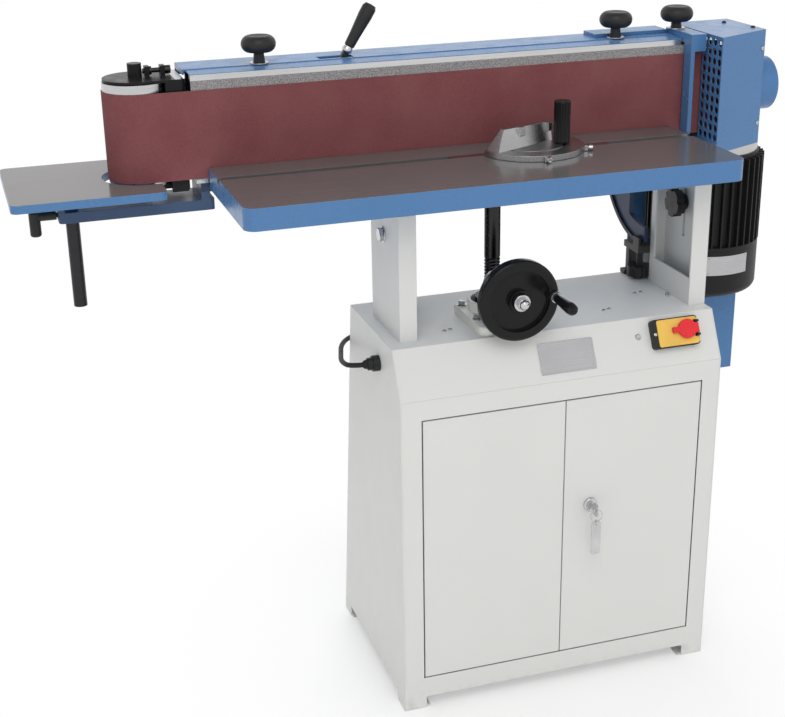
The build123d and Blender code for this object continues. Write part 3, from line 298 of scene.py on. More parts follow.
def castFinish(name, colour, rough, metallic, scale=420, spec=0.35):
    f = Finish(name)
    pits = f.noise(scale, 4, rough=0.6)
    tone = f.mix(f.noise(18, 4), tinted(colour, 0.85), tinted(colour, 1.12))
    f.put(Base_Color=f.mix(f.spread(pits, 0.55, 0.75, 0, 0.4), tone, tinted(colour, 0.7)), Metallic=metallic)
    f.put(Roughness=f.spread(pits, 0.3, 0.7, rough - 0.06, rough + 0.1), Specular_IOR_Level=spec)
    f.put(Normal=f.bump(pits, 0.22, 0.0008, f.rounded(0.0015)))
    return f.mat


def turnedFinish(name, colour, rough):
    return metalFinish(name, colour, rough, (40, 40, 900), 0.05, 0.07).mat


def carriageFinish(s={"plateFrom": -0.5885, "top": 1.1160}):
    # black cap and fork, with the bright ground end of its slab showing on top
    f = Finish("idlerForkBlack")
    bare = f.math("MULTIPLY", f.spread(f.axis("X"), s["plateFrom"] - 0.0004, s["plateFrom"], 0, 1),
                  f.spread(f.axis("Z"), s["top"] - 0.0003, s["top"], 0, 1))
    bare = f.math("MULTIPLY", bare, f.spread(f.facing("Z"), 0.8, 0.9, 0, 1))
    rodEnd = f.spread(f.axis("X"), -0.5735, -0.5730, 0, 1)
    bare = f.math("MAXIMUM", bare, rodEnd)
    black = f.mix(f.noise(30, 3), (0.010, 0.010, 0.011), (0.020, 0.020, 0.022))
    steel = f.mix(f.noise(1.0, 3, f.stretch((500, 4, 500))), (0.44, 0.44, 0.45), (0.66, 0.66, 0.67))
    f.put(Base_Color=f.mix(bare, black, steel), Metallic=bare, Specular_IOR_Level=0.12)
    f.put(Roughness=f.mixNumber(bare, f.spread(f.noise(60, 3), 0.3, 0.7, 0.24, 0.36), 0.28))
    f.put(Normal=f.bump(f.noise(700, 2), 0.06, 0.0005, f.rounded(0.0014)))
    return f.mat


def railFinish(s={"axisY": 0.040, "axisZ": 0.925, "rim": 0.1615}):
    # curved rails: deep blue web, with the outer rim painted near-black as painted shade
    f = paintFinish("railPaint", paintSet["deepBlue"], 0.36, 0.12, 0.0, 0.22)
    dy = f.math("SUBTRACT", f.axis("Y"), s["axisY"])
    dz = f.math("SUBTRACT", f.axis("Z"), s["axisZ"])
    away = f.math("SQRT", f.math("ADD", f.math("MULTIPLY", dy, dy), f.math("MULTIPLY", dz, dz)))
    # painted shade: the band beyond the rim radius is coloured near-black
    rim = f.spread(away, s["rim"], s["rim"] + 0.0008, 0, 1)
    tone = f.shader.inputs["Base Color"].links[0].from_socket
    f.put(Base_Color=f.mix(rim, tone, (0.016, 0.016, 0.018)))
    return f.mat


def clearFinish():
    f = plasticFinish("clearTag", (0.80, 0.82, 0.84), 0.14, 500, 0.06, 0.5)
    f.put(Transmission_Weight=0.85, IOR=1.45)
    return f.mat


def makeFinishes():
    blue = paintFinish("machineBluePaint", paintSet["machineBlue"], 0.24, 0.07, 0.0, 0.32).mat
    return {
        "cabinet": cabinetFinish(),
        "blue": blue,
        "armBlue": paintFinish("armBluePaint", paintSet["armBlue"], 0.30, 0.08, 0.0, 0.30).mat,
        "deepBlue": paintFinish("deepBluePaint", paintSet["deepBlue"], 0.34, 0.10, 0.0, 0.25).mat,
        "cream": paintFinish("panelCreamPaint", paintSet["panelCream"], 0.42, 0.25, 0.0, 0.4, 0.06,
                             0.003).mat,
        "table": groundTopFinish("groundTable",
                                 {"bare": 0.9555, "slot": (-0.0025, 0.0165), "slotFloor": 0.956,
                                                 "metal": 0.22, "sheen": 1.6}),
        "endTable": groundTopFinish("groundEndTable", {"bare": 0.9475, "metal": 0.06, "sheen": 1.38}),
        "steel": metalFinish("brightSteel", (0.52, 0.52, 0.53), 0.20).mat,
        "platen": metalFinish("groundPlaten", (0.62, 0.62, 0.625), 0.20, (3, 500, 500)).mat,
        "darkIron": castFinish("darkIron", (0.075, 0.072, 0.070), 0.5, 0.6),
        "blackSteel": metalFinish("blackedSteel", (0.045, 0.045, 0.048), 0.34, (60, 60, 300), 0.05).mat,
        "motorBlack": castFinish("motorBlackPaint", (0.014, 0.014, 0.015), 0.42, 0.0, 300, 0.2),
        "alloy": castFinish("castAlloy", (0.56, 0.56, 0.55), 0.34, 1.0, 520),
        "mitreAlloy": castFinish("tumbledAlloy", (0.43, 0.43, 0.435), 0.28, 1.0, 700),
        "drum": turnedFinish("turnedDrum", (0.60, 0.60, 0.61), 0.24),
        "plastic": plasticFinish("mouldedBlack", (0.018, 0.018, 0.019), 0.42).mat,
        "gloss": plasticFinish("glossBlack", (0.008, 0.008, 0.009), 0.18, 300, 0.03, 0.20).mat,
        "red": plasticFinish("stopRed", (0.74, 0.030, 0.040), 0.30, 700, 0.05, 0.25).mat,
        "green": plasticFinish("startGreen", (0.02, 0.26, 0.06), 0.32, 700, 0.05, 0.45).mat,
        "yellow": plasticFinish("switchYellow", (0.80, 0.50, 0.10), 0.38, 700, 0.04, 0.30).mat,
        "belt": beltFinish(),
        "graphite": graphiteFinish(),
        "rubber": plasticFinish("leadRubber", (0.016, 0.016, 0.017), 0.55, 1100, 0.10, 0.25).mat,
        "fork": carriageFinish(),
        "rail": railFinish(),
        "plate": metalFinish("blankPlate", (0.50, 0.50, 0.51), 0.30, (4, 800, 800), 0.08).mat,
        "guard": paintFinish("guardPaint", paintSet["machineBlue"], 0.26, 0.07, 0.0, 0.32).mat,
        "chrome": metalFinish("polishedChrome", (0.60, 0.60, 0.61), 0.12, (30, 400, 400), 0.03, 0.04).mat,
        "clear": clearFinish(),
        "thread": metalFinish("liftThread", (0.040, 0.039, 0.039), 0.26, (60, 60, 300), 0.05).mat,
    }


finishes = makeFinishes()
print("finishes made:", len(finishes))

# which finish each carried-over node takes
nodeFinish = {
    "cabinet": ["cabinet_sides", "cabinet_back", "cabinet_front_frame", "cabinet_deck", "cabinet_floor",
                "left_door",
                "right_door", "columns", "table_brackets"],
    "blackSteel": ["tracking_screw", "end_table_post", "lift_nut"],
    "thread": ["leadscrew"],
    "chrome": ["door_latch", "door_hinges"],
    "plastic": ["left_lock_knob", "right_lock_knob", "trunnion_knob_left", "trunnion_knob_right",
                "cover_knob_left", "cover_knob_right", "stop_knob", "end_table_lever", "tension_lever",
                "switch_box",
                "cord_glands"],
    "gloss": ["handwheel", "crank_handle", "mitre_handle"],
    "steel": ["handwheel_shaft", "mitre_bar", "motor_shaft", "motor_bearings", "idler_bearings"],
    "darkIron": ["trunnion_guides"],
    "blue": ["top_cover", "drive_cover", "dust_hood", "work_stop"],
    "armBlue": ["end_table_arm"],
    "deepBlue": ["head_base", "head_frame"],
    "rail": ["trunnions"],
    "cream": ["gearbox_housing"],
    "table": ["table"],
    "endTable": ["end_table"],
    "platen": ["platen"],
    "motorBlack": ["motor_housing", "motor_cowl"],
    "alloy": ["motor_flange"],
    "mitreAlloy": ["mitre_head"],
    "drum": ["drive_drum", "idler_drum"],
    "red": ["stop_lid"],
    "green": ["start_button"],
    "belt": ["sanding_belt"],
    "graphite": ["graphite_pad"],
    "rubber": ["power_lead"],
    "fork": ["idler_carriage"],
    "guard": ["motor_guard"],
}


def dressNodes():
    left = set(nodes)
    for key, names in nodeFinish.items():
        for name in names:
            left.discard(name)
            ob = nodes[name]
            if not ob.material_slots:
                ob.data.materials.append(finishes[key])
            for held in ob.material_slots:
                held.material = finishes[key]
    print("nodes dressed, left over:", sorted(left))


dressNodes()


def addPiece(name, mesh, finish, body):
    ob = bpy.data.objects.new(name, mesh)
    scene.collection.objects.link(ob)
    mesh.materials.clear()
    mesh.materials.append(finishes[finish])
    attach(ob, body)
    return ob


def meshFrom(bm, name, smooth=True):
    bmesh.ops.remove_doubles(bm, verts=bm.verts, dist=1e-6)
    bmesh.ops.recalc_face_normals(bm, faces=bm.faces)
    mesh = bpy.data.meshes.new(name)
    bm.to_mesh(mesh)
    bm.free()
    for face in mesh.polygons:
        face.use_smooth = smooth
    if smooth:
        mesh.set_sharp_from_angle(angle=math.radians(35))
    return mesh


def lathed(bm, outline, steps, place):
    # a closed turned shape: outline is (radius, height) from the bottom middle to the top middle
    rings = []
    for r, z in outline:
        if r < 1e-7:
            rings.append([bm.verts.new(place @ Vector((0, 0, z)))])
        else:
            rings.append([bm.verts.new(place @ Vector((r * math.cos(2 * math.pi * k / steps),
                                                       r * math.sin(2 * math.pi * k / steps), z)))
                                                       for k in range(steps)])
    for a, b in zip(rings, rings[1:]):
        for k in range(steps):
            n = (k + 1) % steps
            loop = [a[k % len(a)], a[n % len(a)], b[n % len(b)], b[k % len(b)]]
            bm.faces.new(list(dict.fromkeys(loop)))


def pointing(place, aim):
    return Matrix.Translation(place) @ Vector(aim).to_track_quat("Z", "Y").to_matrix().to_4x4()


# power lead: one smooth line through the route that the solid follows
leadSet = {
    "route": [(-0.306, -0.077, 0.637), (-0.350, -0.077, 0.636), (-0.352, -0.020, 0.625),
              (-0.334, 0.045, 0.614),
              (-0.319, 0.098, 0.609), (-0.294, 0.138, 0.607), (-0.240, 0.168, 0.606), (-0.196, 0.168, 0.606),
              (-0.196, 0.096, 0.606)],
    "diameter": 0.009,
    "length": 0.422,
}


def makeLead(s):
    curve = bpy.data.curves.new("powerLead", "CURVE")
    curve.dimensions = "3D"
    line = curve.splines.new("NURBS")
    line.points.add(len(s["route"]) - 1)
    for point, at in zip(line.points, s["route"]):
        point.co = (*at, 1)
    line.order_u = 3
    line.use_endpoint_u = True
    line.resolution_u = 16
    curve.bevel_depth = s["diameter"] / 2
    curve.bevel_resolution = 5
    curve.use_fill_caps = True
    lead = bpy.data.objects.new("powerLead", curve)
    scene.collection.objects.link(lead)
    curve.materials.append(finishes["rubber"])
    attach(lead, "cabinet")
    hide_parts("power_lead")


makeLead(leadSet)
reliefSet = {
    "ends": [((-0.3198, -0.077, 0.637), (-1, 0, 0)), ((-0.196, 0.1305, 0.606), (0, 1, 0))],
    "long": 0.008, "big": 0.0095, "small": 0.0068, "bore": 0.0056, "ribs": 2,
}


def makeRelief(s):
    bm = bmesh.new()
    outline = [(s["bore"], 0.0), (s["big"], 0.0)]
    for k in range(s["ribs"]):
        a, b = k / s["ribs"], (k + 0.55) / s["ribs"]
        r0 = s["big"] + (s["small"] - s["big"]) * a
        r1 = s["big"] + (s["small"] - s["big"]) * b
        outline += [(r0, a * s["long"] + 0.0004), (r1, b * s["long"]), (r1 - 0.0009, b * s["long"] + 0.0004),
                    (r1 - 0.0011, (k + 1) / s["ribs"] * s["long"])]
    outline += [(s["bore"], s["long"]), (s["bore"], 0.0)]
    for place, aim in s["ends"]:
        lathed(bm, outline, 28, pointing(place, aim))
    addPiece("strainReliefs", meshFrom(bm, "strainReliefs"), "rubber", "cabinet")


makeRelief(reliefSet)
print("lead and strain reliefs laid")


def ringPoints(x, y, r, count):
    return [(x + r * math.cos(2 * math.pi * k / count), y + r * math.sin(2 * math.pi * k / count))
            for k in range(count)]


def roundedRect(x0, x1, y0, y1, r, steps=5):
    points = []
    for cx, cy, start in ((x1 - r, y1 - r, 0), (x0 + r, y1 - r, 90), (x0 + r, y0 + r, 180),
                          (x1 - r, y0 + r, 270)):
        for k in range(steps + 1):
            a = math.radians(start + 90 * k / steps)
            points.append((cx + r * math.cos(a), cy + r * math.sin(a)))
    return points


def cutPlate(bm, outer, holes, low, high, place):
    # a flat plate of any outline, with holes
    rings = [[bm.verts.new((x, y, low)) for x, y in ring] for ring in [outer] + holes]
    rims = [bm.edges.new(pair) for ring in rings for pair in zip(ring, ring[1:] + ring[:1])]
    filled = bmesh.ops.triangle_fill(bm, edges=rims, use_beauty=True)
    faces = [part for part in filled["geom"] if isinstance(part, bmesh.types.BMFace)]
    upper = {v: bm.verts.new((v.co.x, v.co.y, high)) for ring in rings for v in ring}
    for face in faces:
        bm.faces.new([upper[v] for v in face.verts])
    for rim in rims:
        a, b = rim.verts
        bm.faces.new([a, b, upper[b], upper[a]])
    bmesh.ops.transform(bm, matrix=place, verts=list(upper) + list(upper.values()))


def hexBody(bm, across, low, high, place, chamfer=0.0008):
    r = across / math.sqrt(3)
    lathed(bm, [(0, low), (r - chamfer, low), (r, low + chamfer), (r, high - chamfer), (r - chamfer, high),
                (0, high)],
           6, place)


def wireRing(bm, middle, r, wire, normal, steps=32):
    place = pointing(middle, normal)
    sides = 10
    outline = [(r + wire * math.cos(2 * math.pi * k / sides), wire * math.sin(2 * math.pi * k / sides))
               for k in range(sides + 1)]
    lathed(bm, outline, steps, place)


# the sloped panel's own axes: along it, up it, out of it
slopeRise, slopeRun = 0.081, 0.042
slopeLong = math.hypot(slopeRise, slopeRun)
slopeOut = Vector((0, -slopeRise / slopeLong, slopeRun / slopeLong))
slopeUp = Vector((0, slopeRun / slopeLong, slopeRise / slopeLong))
slopeFoot = (0, -0.194, 0.606)
slopeTurn = Matrix(((1, 0, 0), slopeUp, slopeOut)).transposed().to_4x4()
slopePlace = Matrix.Translation(slopeFoot) @ slopeTurn

# bare name plate and a plug on the sloped panel
namePlateSet = {"x": (-0.042, 0.061), "up": (0.014, 0.069), "thick": 0.0009, "border": 0.0022}


def makeNamePlate(s):
    bm = bmesh.new()
    outer = roundedRect(*s["x"], *s["up"], 0.002)
    cutPlate(bm, outer, [], 0.0001, s["thick"], slopePlace)
    addPiece("namePlate", meshFrom(bm, "namePlate", False), "plate", "cabinet")
    bm = bmesh.new()
    b = s["border"]
    inner = roundedRect(s["x"][0] + b, s["x"][1] - b, s["up"][0] + b, s["up"][1] - b, 0.0012)
    cutPlate(bm, outer, [inner], s["thick"], s["thick"] + 0.0003, slopePlace)
    addPiece("namePlateBorder", meshFrom(bm, "namePlateBorder", False), "steel", "cabinet")


makeNamePlate(namePlateSet)
plugSet = {"x": 0.148, "up": 0.058, "r": 0.0056}


def makePlug(s):
    bm = bmesh.new()
    r = s["r"]
    outline = [(0, 0), (r, 0), (r, 0.0008), (r - 0.0006, 0.0016), (r - 0.0016, 0.0018),
               (r - 0.0022, 0.0011), (0, 0.0009)]
    lathed(bm, outline, 28, slopePlace @ Matrix.Translation((s["x"], s["up"], 0)))
    addPiece("panelPlug", meshFrom(bm, "panelPlug"), "steel", "cabinet")


makePlug(plugSet)

# yellow face of the switch, cut round the button and the lid's posts
switchSet = {"x": (0.1805, 0.2592), "up": (0.033, 0.081), "base": 0.012, "thick": 0.0013,
             "button": (0.236, 0.060, 0.0093),
             "posts": [(0.0450, 0.0510), (0.0690, 0.0750)], "postFrom": 0.2515}


def makeSwitchFace(s):
    x0, x1, y0, y1, r = *s["x"], *s["up"], 0.004
    outer = [point for point in roundedRect(x0, x1, y0, y1, r) if point[0] < x1 - r - 1e-5]
    right = [(x1 - r, y0), (x1, y0 + r)]
    for low, high in s["posts"]:
        right += [(x1, low), (s["postFrom"], low), (s["postFrom"], high), (x1, high)]
    right += [(x1, y1 - r), (x1 - r, y1)]
    bm = bmesh.new()
    cutPlate(bm, outer + right, [ringPoints(*s["button"], 28)], s["base"], s["base"] + s["thick"], slopePlace)
    addPiece("switchFace", meshFrom(bm, "switchFace", False), "yellow", "cabinet")


makeSwitchFace(switchSet)

# bare data plate bent round the motor's cowl
dataPlateSet = {"middle": (0.440, 0.1485), "r": 0.1102, "thick": 0.0008, "turn": (-112, -66),
                "z": (0.675, 0.713), "steps": 20}


def makeDataPlate(s):
    bm = bmesh.new()
    rows = []
    for r, z in ((s["r"], s["z"][0]), (s["r"] + s["thick"], s["z"][0]), (s["r"] + s["thick"], s["z"][1]),
                 (s["r"], s["z"][1])):
        row = []
        for k in range(s["steps"] + 1):
            a = math.radians(s["turn"][0] + (s["turn"][1] - s["turn"][0]) * k / s["steps"])
            row.append(bm.verts.new((s["middle"][0] + r * math.cos(a), s["middle"][1] + r * math.sin(a), z)))
        rows.append(row)
    for a, b in zip(rows, rows[1:] + rows[:1]):
        for k in range(s["steps"]):
            bm.faces.new([a[k], a[k + 1], b[k + 1], b[k]])
    for k in (0, s["steps"]):
        bm.faces.new([row[k] for row in rows])
    addPiece("motorPlate", meshFrom(bm, "motorPlate"), "plate", "head")


makeDataPlate(dataPlateSet)
print("plates and switch face made")

# handwheel: cap nut on the hub and a ferrule on the crank
hubSet = {"place": (-0.083, -0.193, 0.757), "across": 0.019, "hex": 0.008, "dome": 0.0085, "washer": 0.0145}
ferruleSet = {"place": (-0.02258, -0.188, 0.76017),
              "outline": [(0.0068, 0.0002), (0.0096, 0.0004), (0.0101, 0.0030),
              (0.0098, 0.0075), (0.0088, 0.0092), (0.0074, 0.0092), (0.0068, 0.0002)]}


def makeHub(s):
    bm = bmesh.new()
    place = pointing(s["place"], (0, -1, 0))
    lathed(bm, [(0, 0), (s["washer"], 0), (s["washer"], 0.0014), (s["washer"] - 0.0005, 0.0018),
                (0, 0.0018)], 36, place)
    hexBody(bm, s["across"], 0.0018, 0.0018 + s["hex"], place)
    low, r = 0.0016 + s["hex"], s["across"] * 0.46
    dome = [(0, low)] + [(r * math.cos(a), low + s["dome"] * math.sin(a))
                         for a in (k * math.pi / 20 for k in range(11))]
    lathed(bm, dome[:-1] + [(0, low + s["dome"])], 30, place)
    addPiece("hubNut", meshFrom(bm, "hubNut"), "chrome", "handwheel")


def makeFerrule(s):
    bm = bmesh.new()
    lathed(bm, s["outline"], 32, pointing(s["place"], (0, -1, 0)))
    addPiece("crankFerrule", meshFrom(bm, "crankFerrule"), "chrome", "crank")


makeHub(hubSet)
makeFerrule(ferruleSet)

# collar on the tension lever, between its shank and its grip
collarSet = {"pivot": (-0.300, 0.150, 1.098), "lean": (0.069, 0, 0.114),
             "outline": [(0.0072, 0.0415), (0.0086, 0.0415),
             (0.0092, 0.0425), (0.0092, 0.0470), (0.0083, 0.0485), (0.0083, 0.0515), (0.0072, 0.0515),
             (0.0072, 0.0415)]}


def makeCollar(s):
    bm = bmesh.new()
    lathed(bm, s["outline"], 32, pointing(s["pivot"], s["lean"]))
    addPiece("leverCollar", meshFrom(bm, "leverCollar"), "chrome", "tension_lever")


makeCollar(collarSet)

# lift screw with its thread cut in, same length and flange as the solid
screwSet = {"middle": (-0.083, -0.055), "z": (0.650, 0.943), "r": 0.014, "deep": 0.0015, "pitch": 0.006,
            "steps": 30, "rows": 6,
            "threadTop": 0.800,
            "flange": [(0, 0.942), (0.025, 0.942), (0.025, 0.951), (0, 0.951)]}


def closedTube(bm, rows):
    # a closed round body from rows of points, capped at both ends
    rings = [[bm.verts.new(point) for point in row] for row in rows]
    for a, b in zip(rings, rings[1:]):
        for k in range(len(a)):
            n = (k + 1) % len(a)
            bm.faces.new([a[k], a[n], b[n], b[k]])
    for ring in (rings[0], rings[-1]):
        middle = sum((v.co for v in ring), Vector()) / len(ring)
        hub = bm.verts.new(middle)
        for k in range(len(ring)):
            bm.faces.new([hub, ring[k], ring[(k + 1) % len(ring)]])


def makeLiftScrew(s):
    bm = bmesh.new()
    low, high = s["z"]
    count = round((high - low) / s["pitch"] * s["rows"])
    rows = []
    for k in range(count + 1):
        z = low + (high - low) * k / count
        row = []
        for j in range(s["steps"]):
            a = 2 * math.pi * j / s["steps"]
            phase = (z / s["pitch"] - j / s["steps"]) % 1
            cut = min(1.0, max(0.0, 3 * abs(phase - 0.5) - 0.4))
            r = s["r"] - (s["deep"] * cut if z < s["threadTop"] else 0)
            row.append((s["middle"][0] + r * math.cos(a), s["middle"][1] + r * math.sin(a), z))
        rows.append(row)
    closedTube(bm, rows)
    lathed(bm, s["flange"], 40, Matrix.Translation((*s["middle"], 0)))
    screw = addPiece("liftScrew", meshFrom(bm, "liftScrew"), "thread", "table")
    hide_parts("leadscrew")


makeLiftScrew(screwSet)

# mitre gauge's handle with flutes down its grip
gripSet = {"middle": (0.067, -0.002), "flutes": 18, "deep": 0.0007, "steps": 8,
           "rows": [(0.0040, 0.9665, 0), (0.0040, 0.9760, 0), (0.0135, 0.9760, 0), (0.0145, 0.9775, 0),
                    (0.0145, 0.9790, 0),
                    (0.0145, 0.9805, 1), (0.0145, 1.0445, 1), (0.0145, 1.0460, 0), (0.0145, 1.0475, 0),
                    (0.0130, 1.0495, 0),
                    (0.0060, 1.0503, 0)]}


def makeGrip(s):
    bm = bmesh.new()
    count = s["flutes"] * s["steps"]
    rows = []
    for r, z, cut in s["rows"]:
        row = []
        for k in range(count):
            a = 2 * math.pi * k / count
            at = r - cut * s["deep"] * (0.5 - 0.5 * math.cos(s["flutes"] * a))
            row.append((s["middle"][0] + at * math.cos(a), s["middle"][1] + at * math.sin(a), z))
        rows.append(row)
    closedTube(bm, rows)
    grip = addPiece("mitreGrip", meshFrom(bm, "mitreGrip"), "gloss", "mitre_handle")
    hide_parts("mitre_handle")


makeGrip(gripSet)

# stop blocks with thumb screws round the mitre gauge's rim
stopSet = {"middle": (0.012, 0.007), "rim": 0.0928, "turns": (-95, -25), "block": (0.0065, 0.0075),
           "z": (0.9662, 0.9750),
           "screw": [(0, 0.005), (0.0022, 0.005), (0.0022, 0.0085), (0.0043, 0.0085), (0.0048, 0.0091),
                     (0.0048, 0.0150),
                     (0.0042, 0.0157), (0.0018, 0.0157), (0.0016, 0.0142), (0, 0.0142)]}


def makeStops(s):
    bm = bmesh.new()
    for turn in s["turns"]:
        place = Matrix.Translation((*s["middle"], 0)) @ Matrix.Rotation(math.radians(turn), 4, "Z")
        outer = roundedRect(s["rim"], s["rim"] + s["block"][1], -s["block"][0], s["block"][0], 0.0012, 3)
        cutPlate(bm, outer, [], *s["z"], place)
        high = (s["z"][0] + s["z"][1]) / 2
        lathed(bm, s["screw"], 22, place @ pointing((s["rim"], 0, high), (1, 0, 0)))
    addPiece("mitreStops", meshFrom(bm, "mitreStops"), "chrome", "mitre_head")


makeStops(stopSet)

# washers under the cover knobs and the stop knob
washerSet = {"in": 0.0109, "out": 0.0165, "thick": 0.0022,
             "spots": {"head": [(-0.436, 0.140, 1.126), (0.233, 0.140, 1.126)],
                       "stop_knob": [(0.357, 0.140, 1.1352)]}}


def makeWashers(s):
    for body, spots in s["spots"].items():
        bm = bmesh.new()
        t = s["thick"]
        outline = [(s["in"], 0), (s["out"], 0), (s["out"], t - 0.0006), (s["out"] - 0.0006, t),
                   (s["in"] + 0.0004, t),
                   (s["in"], t - 0.0004), (s["in"], 0)]
        for place in spots:
            lathed(bm, outline, 36, Matrix.Translation(place))
        addPiece("knobWashers." + body, meshFrom(bm, "knobWashers." + body), "steel", body)


makeWashers(washerSet)

# bright nuts on the outer ends of the table locks
lockNutSet = {"across": 0.021, "long": 0.0088, "washer": 0.0142,
              "left_lock": ((-0.2762, -0.040, 0.855), (-1, 0, 0)),
              "right_lock": ((0.3072, -0.040, 0.855), (1, 0, 0))}


def makeLockNuts(s):
    for body in ("left_lock", "right_lock"):
        bm = bmesh.new()
        place = pointing(*s[body])
        lathed(bm, [(0, 0), (s["washer"], 0), (s["washer"], 0.0012), (s["washer"] - 0.0006, 0.0018),
                    (0, 0.0018)], 32, place)
        hexBody(bm, s["across"], 0.0016, s["long"], place)
        name = "lockNut." + body
        addPiece(name, meshFrom(bm, name), "chrome", body)


makeLockNuts(lockNutSet)

# key ring and clear tag on the key, turning with it
tagSet = {"hole": (0.054, -0.2224, 0.360), "ring": 0.011, "link": 0.0045, "wire": 0.0008, "wide": 0.0175,
          "long": 0.064,
          "thick": 0.0014}


def makeKeyTag(s):
    x, y, z = s["hole"]
    bm = bmesh.new()
    wireRing(bm, (x, y, z - s["ring"] + s["wire"]), s["ring"], s["wire"], (0, 1, 0))
    linkZ = z - 2 * s["ring"] + 2 * s["wire"] - s["link"] + 2 * s["wire"]
    wireRing(bm, (x, y, linkZ), s["link"], s["wire"], (1, 0, 0), 20)
    addPiece("keyRing", meshFrom(bm, "keyRing"), "chrome", "latch")
    bm = bmesh.new()
    hole = linkZ - s["link"] + s["wire"]
    place = Matrix.Translation((x, y, hole)) @ Matrix.Rotation(math.radians(90), 4, "X")
    outer = roundedRect(-s["wide"] / 2, s["wide"] / 2, -s["long"] + 0.005, 0.005, 0.004)
    cutPlate(bm, outer, [ringPoints(0, 0, 0.0024, 18)], -s["thick"] / 2, s["thick"] / 2, place)
    addPiece("keyTag", meshFrom(bm, "keyTag", False), "clear", "latch")


makeKeyTag(tagSet)
print("nuts, washers and key tag made")


# screws, bolts and rivets are spread by one node tree:
# template heads are one metre wide, scaled at each spot
def fastenerTree():
    tree = bpy.data.node_groups.new("fastenerSpread", "GeometryNodeTree")
    tree.interface.new_socket("Geometry", in_out="INPUT", socket_type="NodeSocketGeometry")
    inputs = {}
    for label, kind in (("Head", "NodeSocketObject"), ("Width", "NodeSocketFloat"),
                        ("Finish", "NodeSocketMaterial")):
        inputs[label] = tree.interface.new_socket(label, in_out="INPUT", socket_type=kind).identifier
    tree.interface.new_socket("Geometry", in_out="OUTPUT", socket_type="NodeSocketGeometry")
    given = tree.nodes.new("NodeGroupInput")
    shape = tree.nodes.new("GeometryNodeObjectInfo")
    aim = tree.nodes.new("GeometryNodeInputNamedAttribute")
    aim.data_type = "FLOAT_VECTOR"
    aim.inputs["Name"].default_value = "aim"
    turn = tree.nodes.new("FunctionNodeAlignRotationToVector")
    turn.axis = "Z"
    spread = tree.nodes.new("GeometryNodeInstanceOnPoints")
    real = tree.nodes.new("GeometryNodeRealizeInstances")
    coat = tree.nodes.new("GeometryNodeSetMaterial")
    done = tree.nodes.new("NodeGroupOutput")
    for a, b in ((given.outputs["Geometry"], spread.inputs["Points"]),
                 (given.outputs["Head"], shape.inputs["Object"]),
                 (shape.outputs["Geometry"], spread.inputs["Instance"]),
                 (aim.outputs["Attribute"], turn.inputs["Vector"]),
                 (turn.outputs["Rotation"], spread.inputs["Rotation"]),
                 (given.outputs["Width"], spread.inputs["Scale"]),
                 (spread.outputs["Instances"], real.inputs["Geometry"]),
                 (real.outputs["Geometry"], coat.inputs["Geometry"]),
                 (given.outputs["Finish"], coat.inputs["Material"]),
                 (coat.outputs["Geometry"], done.inputs["Geometry"])):
        tree.links.new(a, b)
    return tree, inputs


headShapes = {
    "button": [(0, -0.05), (0.5, -0.05), (0.5, 0.08), (0.43, 0.24), (0.27, 0.32), (0.19, 0.32),
               (0.17, 0.12), (0, 0.12)],
    "rivet": [(0, -0.05), (0.5, -0.05), (0.48, 0.08), (0.36, 0.22), (0.18, 0.28), (0, 0.30)],
    "washer": [(0, -0.02), (0.5, -0.02), (0.5, 0.07), (0.47, 0.10), (0, 0.10)],
}


def makeHeads():
    heads = {}
    for name, outline in headShapes.items():
        bm = bmesh.new()
        lathed(bm, outline, 14, Matrix())
        if name == "washer":
            hexBody(bm, 0.62, 0.09, 0.46, Matrix(), 0.05)
        heads[name] = bpy.data.objects.new(name, meshFrom(bm, name))
        scene.collection.objects.link(heads[name])
    return heads


backLean = Vector((0, 0.687, 0.101)).normalized()
hoodLean = Vector((0.4214, -0.9068, 0))
motorX, motorY = dataPlateSet["middle"]
rivetR = 0.1110
up = Vector((0, 0, 1))


def onSlope(x, high, out=0.0):
    return slopePlace @ Vector((x, high, out))


def onBack(x, z):
    return Vector((x, 0.194 - 0.101 * z / 0.687, z))


